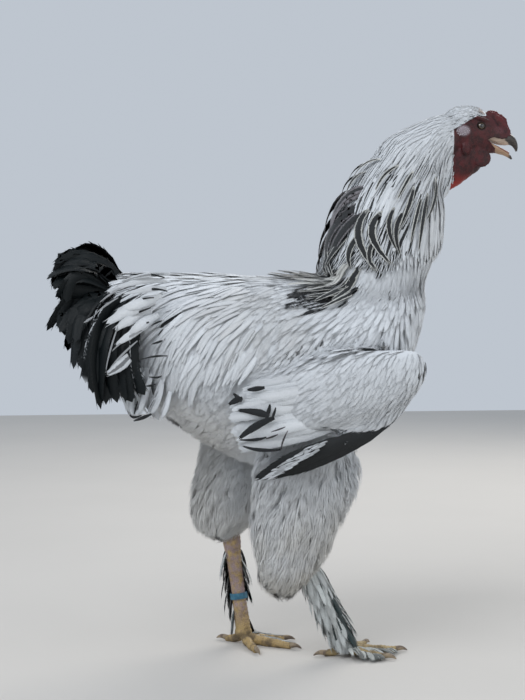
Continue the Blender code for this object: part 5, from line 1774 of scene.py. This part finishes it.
def along(rows, t):
    # A row between rows that start with their place
    for a, b in zip(rows, rows[1:]):
        if t <= b[0]:
            f = min(max((t - a[0]) / (b[0] - a[0]), 0), 1)
            f = f * f * (3 - 2 * f)
            return [p + (q - p) * f for p, q in zip(a, b)]
    return list(rows[-1])


def toeFrame(name, toe):
    s = sides[name]
    angle, length, girth, joints = legs["toes"][toe]
    heading = math.radians(legs["heading"][name] + s * angle)
    way = Vector((math.cos(heading), math.sin(heading), 0))
    return Vector((*legs["ankle"][name][:2], 0)), way, length, girth, joints


def makeLeg(name):
    hock, ankle, _, fore, _ = legFrame(name)
    radius = legs["shankRadius"]
    parts = []
    spots, ups, halves = [], [], []
    steps = 150
    for k in range(steps + 1):
        t = -0.16 + 1.14 * k / steps
        _, wide, deep = along(legs["shank"], t)
        spots.append(hock.lerp(ankle, t))
        ups.append(fore)
        halves.append((wide * radius, deep * radius))
    count = legs["plates"]["shank"]
    parts.append(tube("shank", spots, ups, halves, 40, lambda k, u, angle:
                      plateRise(u, count, angle * 0.9 if angle < 3.14 else (6.283 - angle) * 0.9, 0.00085)
                      + scales(angle, u, 34, 0.0003)))
    for toe in legs["toes"]:
        base, way, length, girth, joints = toeFrame(name, toe)
        spots, ups, halves = [], [], []
        steps = int(length * 1500)
        for k in range(steps + 1):
            t = 0.99 * k / steps
            _, height, thick = along(legs["toeTrack"], t)
            knuckle = 1 + 0.1 * math.cos(t * joints * 2 * math.pi)
            pad = 1 + 0.16 * (0.5 + 0.5 * math.cos(t * joints * 2 * math.pi + 2.6))
            r = legs["toeRadius"] * thick * girth
            spots.append(base + way * (length * t) + Vector((0, 0, max(height, r * 0.82))))
            ups.append(Vector((0, 0, 1)))
            halves.append((r * knuckle * 0.98, r * 0.9 * (0.5 * knuckle + 0.5 * pad)))
        plates = legs["plates"][toe]
        parts.append(tube(toe, spots, ups, halves, 30, lambda k, u, angle, plates=plates:
                          plateRise(u, plates, angle, 0.00075) + scales(angle, u, plates * 2, 0.00035)))
    parts.append(ball(ankle - Vector((0, 0, 0.002)), (0.0112, 0.0112, 0.0096), None, 4))
    piece = fused(joinAll("leg" + name, parts), legs["voxel"], 1)
    for vert in piece.data.vertices:
        vert.co.z = max(vert.co.z, 0.0002)
    low = name[0].lower()
    finishPiece(piece, legMaterial(name), ("shank_" + low, "foot_" + low))


legTint = {
    "Right": {"skin": (0.4, 0.3, 0.14, 1), "deep": (0.16, 0.11, 0.06, 1), "rose": (0.34, 0.2, 0.15, 1)},
    "Left": {"skin": (0.44, 0.31, 0.13, 1), "deep": (0.15, 0.1, 0.07, 1), "rose": (0.34, 0.25, 0.24, 1)},
}
legSoil = (0.085, 0.065, 0.045, 1)


def legMaterial(name):
    look = legTint[name]
    material, tree, shader = newMaterial("legSkin" + name)
    place = ownPlace(tree)
    cells = node(tree, "ShaderNodeTexVoronoi", [("Vector", place), ("Scale", 420.0)], feature="DISTANCE_TO_EDGE")
    tone = cloud(tree, place, 150.0, 4.0)
    dirt = cloud(tree, place, 60.0, 5.0)
    z = node(tree, "ShaderNodeSeparateXYZ", [(0, place)]).outputs[2]
    high = ramp(tree, z, 0.02, 0.055)
    skinTone = mixed(tree, times(tree, high, ramp(tree, tone, 0.35, 0.6)), look["skin"], look["rose"])
    groove = ramp(tree, cells.outputs["Distance"], 0.0, 0.09, 1.0, 0.0)
    colour = mixed(tree, times(tree, groove, 0.7), skinTone, look["deep"])
    soiled = times(tree, ramp(tree, dirt, 0.45, 0.65), ramp(tree, z, 0.05, 0.0, 0.25, 0.85))
    colour = mixed(tree, soiled, colour, legSoil)
    feed(tree, shader, colour, ramp(tree, dirt, 0.4, 0.65, 0.45, 0.85))
    height = calc(tree, "ADD", ramp(tree, cells.outputs["Distance"], 0.0, 0.12), times(tree, tone, 0.5))
    addBump(tree, shader, 0.5, 0.0004, height)
    return material


def makeClaws():
    for name in sides:
        for toe in legs["toes"]:
            base, way, length, girth, _ = toeFrame(name, toe)
            spots, ups, halves = [], [], []
            for k in range(25):
                u = k / 24
                reach, height, half = splineAt(clawLook["rows"], u)
                spots.append(base + way * (length + reach) + Vector((0, 0, max(height, half * 1.05))))
                ups.append(Vector((0, 0, 1)))
                halves.append((half * 0.92 * min(girth * 1.05, 1), half * 1.05))
            piece = tube("claw" + toe.capitalize() + name, spots, ups, halves, 24)
            for vert in piece.data.vertices:
                vert.co.z = max(vert.co.z, 0.0001)
            finishPiece(piece, clawHorn, ("claw_" + toe + "_" + name[0].lower(),))


def clawMaterial():
    material, tree, shader = newMaterial("clawHorn")
    place = ownPlace(tree)
    streak = cloud(tree, place, 500.0, 4.0)
    blotch = cloud(tree, place, 140.0, 2.0)
    colour = mixed(tree, ramp(tree, blotch, 0.4, 0.6), clawLook["pale"], clawLook["dark"])
    colour = mixed(tree, times(tree, streak, 0.5), colour, clawLook["streak"])
    feed(tree, shader, colour, ramp(tree, streak, 0.3, 0.7, 0.35, 0.6))
    addBump(tree, shader, 0.3, 0.0003, streak)
    return material


clawHorn = clawMaterial()
band = {
    "leg": "Left", "place": 0.62, "radius": 0.011, "half": 0.004, "thick": 0.0013, "gap": 0.14, "steps": 110,
    "corners": 20, "tuck": 0.0012, "colour": (0.02, 0.105, 0.175, 1), "worn": (0.045, 0.17, 0.25, 1),
    "grime": (0.06, 0.055, 0.045, 1),
}


def makeBand():
    # A rolled plastic ring whose ends overlap
    hock, ankle, down, fore, side = legFrame(band["leg"])
    centre = hock.lerp(ankle, band["place"])
    turns = 1.0 + band["gap"]
    steps, count = band["steps"], band["corners"]
    profile = []
    for j in range(count):
        angle = 2 * math.pi * j / count
        c, s = math.cos(angle), math.sin(angle)
        profile.append((math.copysign(abs(c) ** 0.35, c) * band["thick"] * 0.5,
                        math.copysign(abs(s) ** 0.35, s) * band["half"]))
    verts, faces = [], []
    for k in range(steps + 1):
        t = k / steps
        angle = -0.6 + t * turns * 2 * math.pi
        radius = band["radius"] - band["thick"] * 0.5 - band["tuck"] * (1 - smoothStep(0.0, 0.25, np.float64(t)))
        out = fore * math.cos(angle) * 1.04 + side * math.sin(angle)
        for rise, height in profile:
            verts.append(centre + out * (radius + rise) + down * height)
    for k in range(steps):
        for j in range(count):
            a, b = k * count + j, k * count + (j + 1) % count
            faces.append((a, b, b + count, a + count))
    faces.append(tuple(range(count - 1, -1, -1)))
    faces.append(tuple(steps * count + j for j in range(count)))
    piece = meshObject("legBand", verts, faces)
    material, tree, shader = newMaterial("bandPlastic")
    place = ownPlace(tree)
    wear = cloud(tree, place, 300.0, 5.0)
    colour = mixed(tree, ramp(tree, wear, 0.35, 0.7), band["colour"], band["worn"])
    grime = cloud(tree, place, 110.0, 4.0)
    colour = mixed(tree, ramp(tree, grime, 0.52, 0.72, 0.0, 0.7), colour, band["grime"])
    feed(tree, shader, colour, ramp(tree, wear, 0.3, 0.7, 0.32, 0.55))
    addBump(tree, shader, 0.2, 0.0002, wear)
    finishPiece(piece, material, ("leg_band",))


footFeathers = {
    "shank": {
        "rows": 9, "around": (-115, 115), "each": 11, "length": 0.034, "half": 0.0062, "from": 0.1, "to": 0.86,
        "out": 0.0085, "white": (0.72, 0.76, 0.75),
    },
    "toe": {"outer": 16, "middle": 12, "length": 0.036, "half": 0.0058, "white": (0.6, 0.63, 0.6)},
}


def growFootFeathers():
    # Feathers down the outer side of the shank and along the outer and middle toes
    rng = np.random.default_rng(71)
    shapes = [softFeather(12, seed, 4, -0.08, 0.9) for seed in (14, 15)]
    for name, s in sides.items():
        hock, ankle, down, fore, side = legFrame(name)
        outward = Vector((0, s, 0))
        outward = (outward - down * outward.dot(down)).normalized()
        spines, facings, halves, tints, inks = [], [], [], [], []
        look = footFeathers["shank"]
        first, last = look["around"]
        for row in range(look["rows"]):
            t = look["from"] + (look["to"] - look["from"]) * row / (look["rows"] - 1)
            for k in range(look["each"]):
                angle = math.radians(first + (last - first) * (k + rng.random() * 0.6) / look["each"])
                if name == "Left" and (t > 0.55 or abs(math.degrees(angle)) > 75) and rng.random() < 0.85:
                    continue  # the far shank is barer
                turn = outward * math.cos(angle) + fore * math.sin(angle)
                base = hock.lerp(ankle, t + rng.uniform(-0.03, 0.03))
                root = base + turn * look["out"]
                length = look["length"] * rng.uniform(0.7, 1.15)
                tilt = rng.uniform(0.1, 0.34)
                way = (down * (1 - tilt * 0.3) + turn * tilt + side * rng.uniform(-0.12, 0.12)).normalized()
                points = []
                for q in (0, 0.33, 0.66, 1.0):
                    spot = root + way * (length * q) + turn * (0.004 * math.sin(q * 2.4))
                    spot = spot + Vector((0, 0, -0.006)) * q * q
                    spot.z = max(spot.z, 0.004 + 0.001 * rng.random())
                    points.append(tuple(spot))
                spines.append(points)
                facings.append([tuple(turn)] * 4)
                halves.append(look["half"] * rng.uniform(0.8, 1.15))
                dark = (angle > 0.35 and t > 0.3) if name == "Right" else rng.random() < 0.3
                tints.append(rng.uniform(0.7, 1.0) * np.array(look["white"]))
                inks.append(2.0 if dark and rng.random() < 0.8 else (0.8 if rng.random() < 0.12 else 0.0))
        look = footFeathers["toe"]
        for toe in ("outer", "middle"):
            base, way, length, _, _ = toeFrame(name, toe)
            out = (Vector((0, s, 0)) - way * way.dot(Vector((0, s, 0)))).normalized()
            for k in range(look[toe]):
                t = 0.05 + 0.8 * (k + rng.random()) / look[toe]
                height = along(legs["toeTrack"], t)[1]
                root = base + way * (length * t) + Vector((0, 0, height + 0.0022)) + out * rng.uniform(-0.001, 0.003)
                spread = rng.uniform(0.45, 1.0)
                run = (way * rng.uniform(0.45, 0.8) + out * spread).normalized()
                size = look["length"] * rng.uniform(0.6, 1.1) * (1 - 0.35 * t)
                points = []
                for q in (0, 0.33, 0.66, 1.0):
                    spot = root + run * (size * q) + Vector((0, 0, 0.003 * math.sin(q * 3.0) - 0.005 * q))
                    spot.z = max(spot.z, 0.0028 + 0.0015 * rng.random())
                    points.append(tuple(spot))
                spines.append(points)
                facings.append([(0, 0, 1)] * 4)
                halves.append(look["half"] * rng.uniform(0.8, 1.15))
                tints.append(rng.uniform(0.6, 1.0) * np.array(look["white"]))
                inks.append(rng.choice((0.0, 0.95, 2.0)))
        spine, facing = np.array(spines), np.array(facings, float)
        halves, tints, inks = np.array(halves), np.array(tints), np.array(inks)
        piece = Coat("footFeathers" + name)
        for k, shape in enumerate(shapes):
            part = np.arange(len(spine)) % 2 == k
            piece.add(shape, spine[part], facing[part], halves[part], tints[part], inks[part])
        piece.build(footPlumage)


footPlumage = featherMaterial(
    "footPlumage",
    {**plumageLook, "black": (0.01, 0.024, 0.024, 1), "grain": 0.45, "roughBlack": 0.4, "specular": 0.4},
)
print("stage: legs")
for name in sides:
    makeLeg(name)
makeClaws()
makeBand()
growFootFeathers()


# Floor, light and camera

studio = {
    "floorSize": 7.0, "floorColour": (0.6, 0.58, 0.55, 1), "world": (0.66, 0.72, 0.8, 1), "worldStrength": 0.78,
    "key": {"place": (-1.4, -1.5, 2.4), "size": 2.0, "power": 42, "colour": (0.97, 0.98, 1.0)},
    "fill": {"place": (1.7, -1.8, 0.9), "size": 2.4, "power": 13, "colour": (1.0, 0.96, 0.9)},
    "back": {"place": (1.0, 1.7, 1.9), "size": 1.6, "power": 26, "colour": (1.0, 0.95, 0.88)},
}
cameraLook = {"place": Vector((-0.2418, -1.6831, 0.45)), "aim": Vector((-0.0347, 0.0043, 0.3835)), "lens": 68.84}


def makeStudio():
    bpy.ops.mesh.primitive_plane_add(size=studio["floorSize"], location=(0, 0, 0))
    floor = bpy.context.object
    floor.name = "floor"
    material, tree, shader = newMaterial("paleFloor")
    place = ownPlace(tree)
    tone = cloud(tree, place, 3.0, 4.0)
    base = studio["floorColour"]
    colour = mixed(tree, tone, base, tuple(c * 0.93 for c in base[:3]) + (1,))
    tree.links.new(colour, shader.inputs["Base Color"])
    shader.inputs["Roughness"].default_value = 0.9
    floor.data.materials.append(material)
    for name in ("key", "fill", "back"):
        look = studio[name]
        bpy.ops.object.light_add(type="AREA", location=look["place"])
        lamp = bpy.context.object
        lamp.data.shape = "DISK"
        lamp.data.size = look["size"]
        lamp.data.energy = look["power"]
        lamp.data.color = look["colour"]
        aim = Vector((0, 0, 0.35)) - Vector(look["place"])
        lamp.rotation_euler = aim.to_track_quat("-Z", "Y").to_euler()
    world = bpy.data.worlds.new("studio")
    world.use_nodes = True
    back = world.node_tree.nodes["Background"]
    back.inputs[0].default_value = studio["world"]
    back.inputs[1].default_value = studio["worldStrength"]
    bpy.context.scene.world = world
    bpy.ops.object.camera_add(location=cameraLook["place"] + shift)
    camera = bpy.context.object
    camera.rotation_euler = (cameraLook["aim"] - cameraLook["place"]).to_track_quat("-Z", "Y").to_euler()
    camera.data.lens = cameraLook["lens"]
    camera.data.sensor_width = 36
    bpy.context.scene.camera = camera
    bpy.context.scene.view_settings.view_transform = "Standard"


print("stage: studio")
makeStudio()
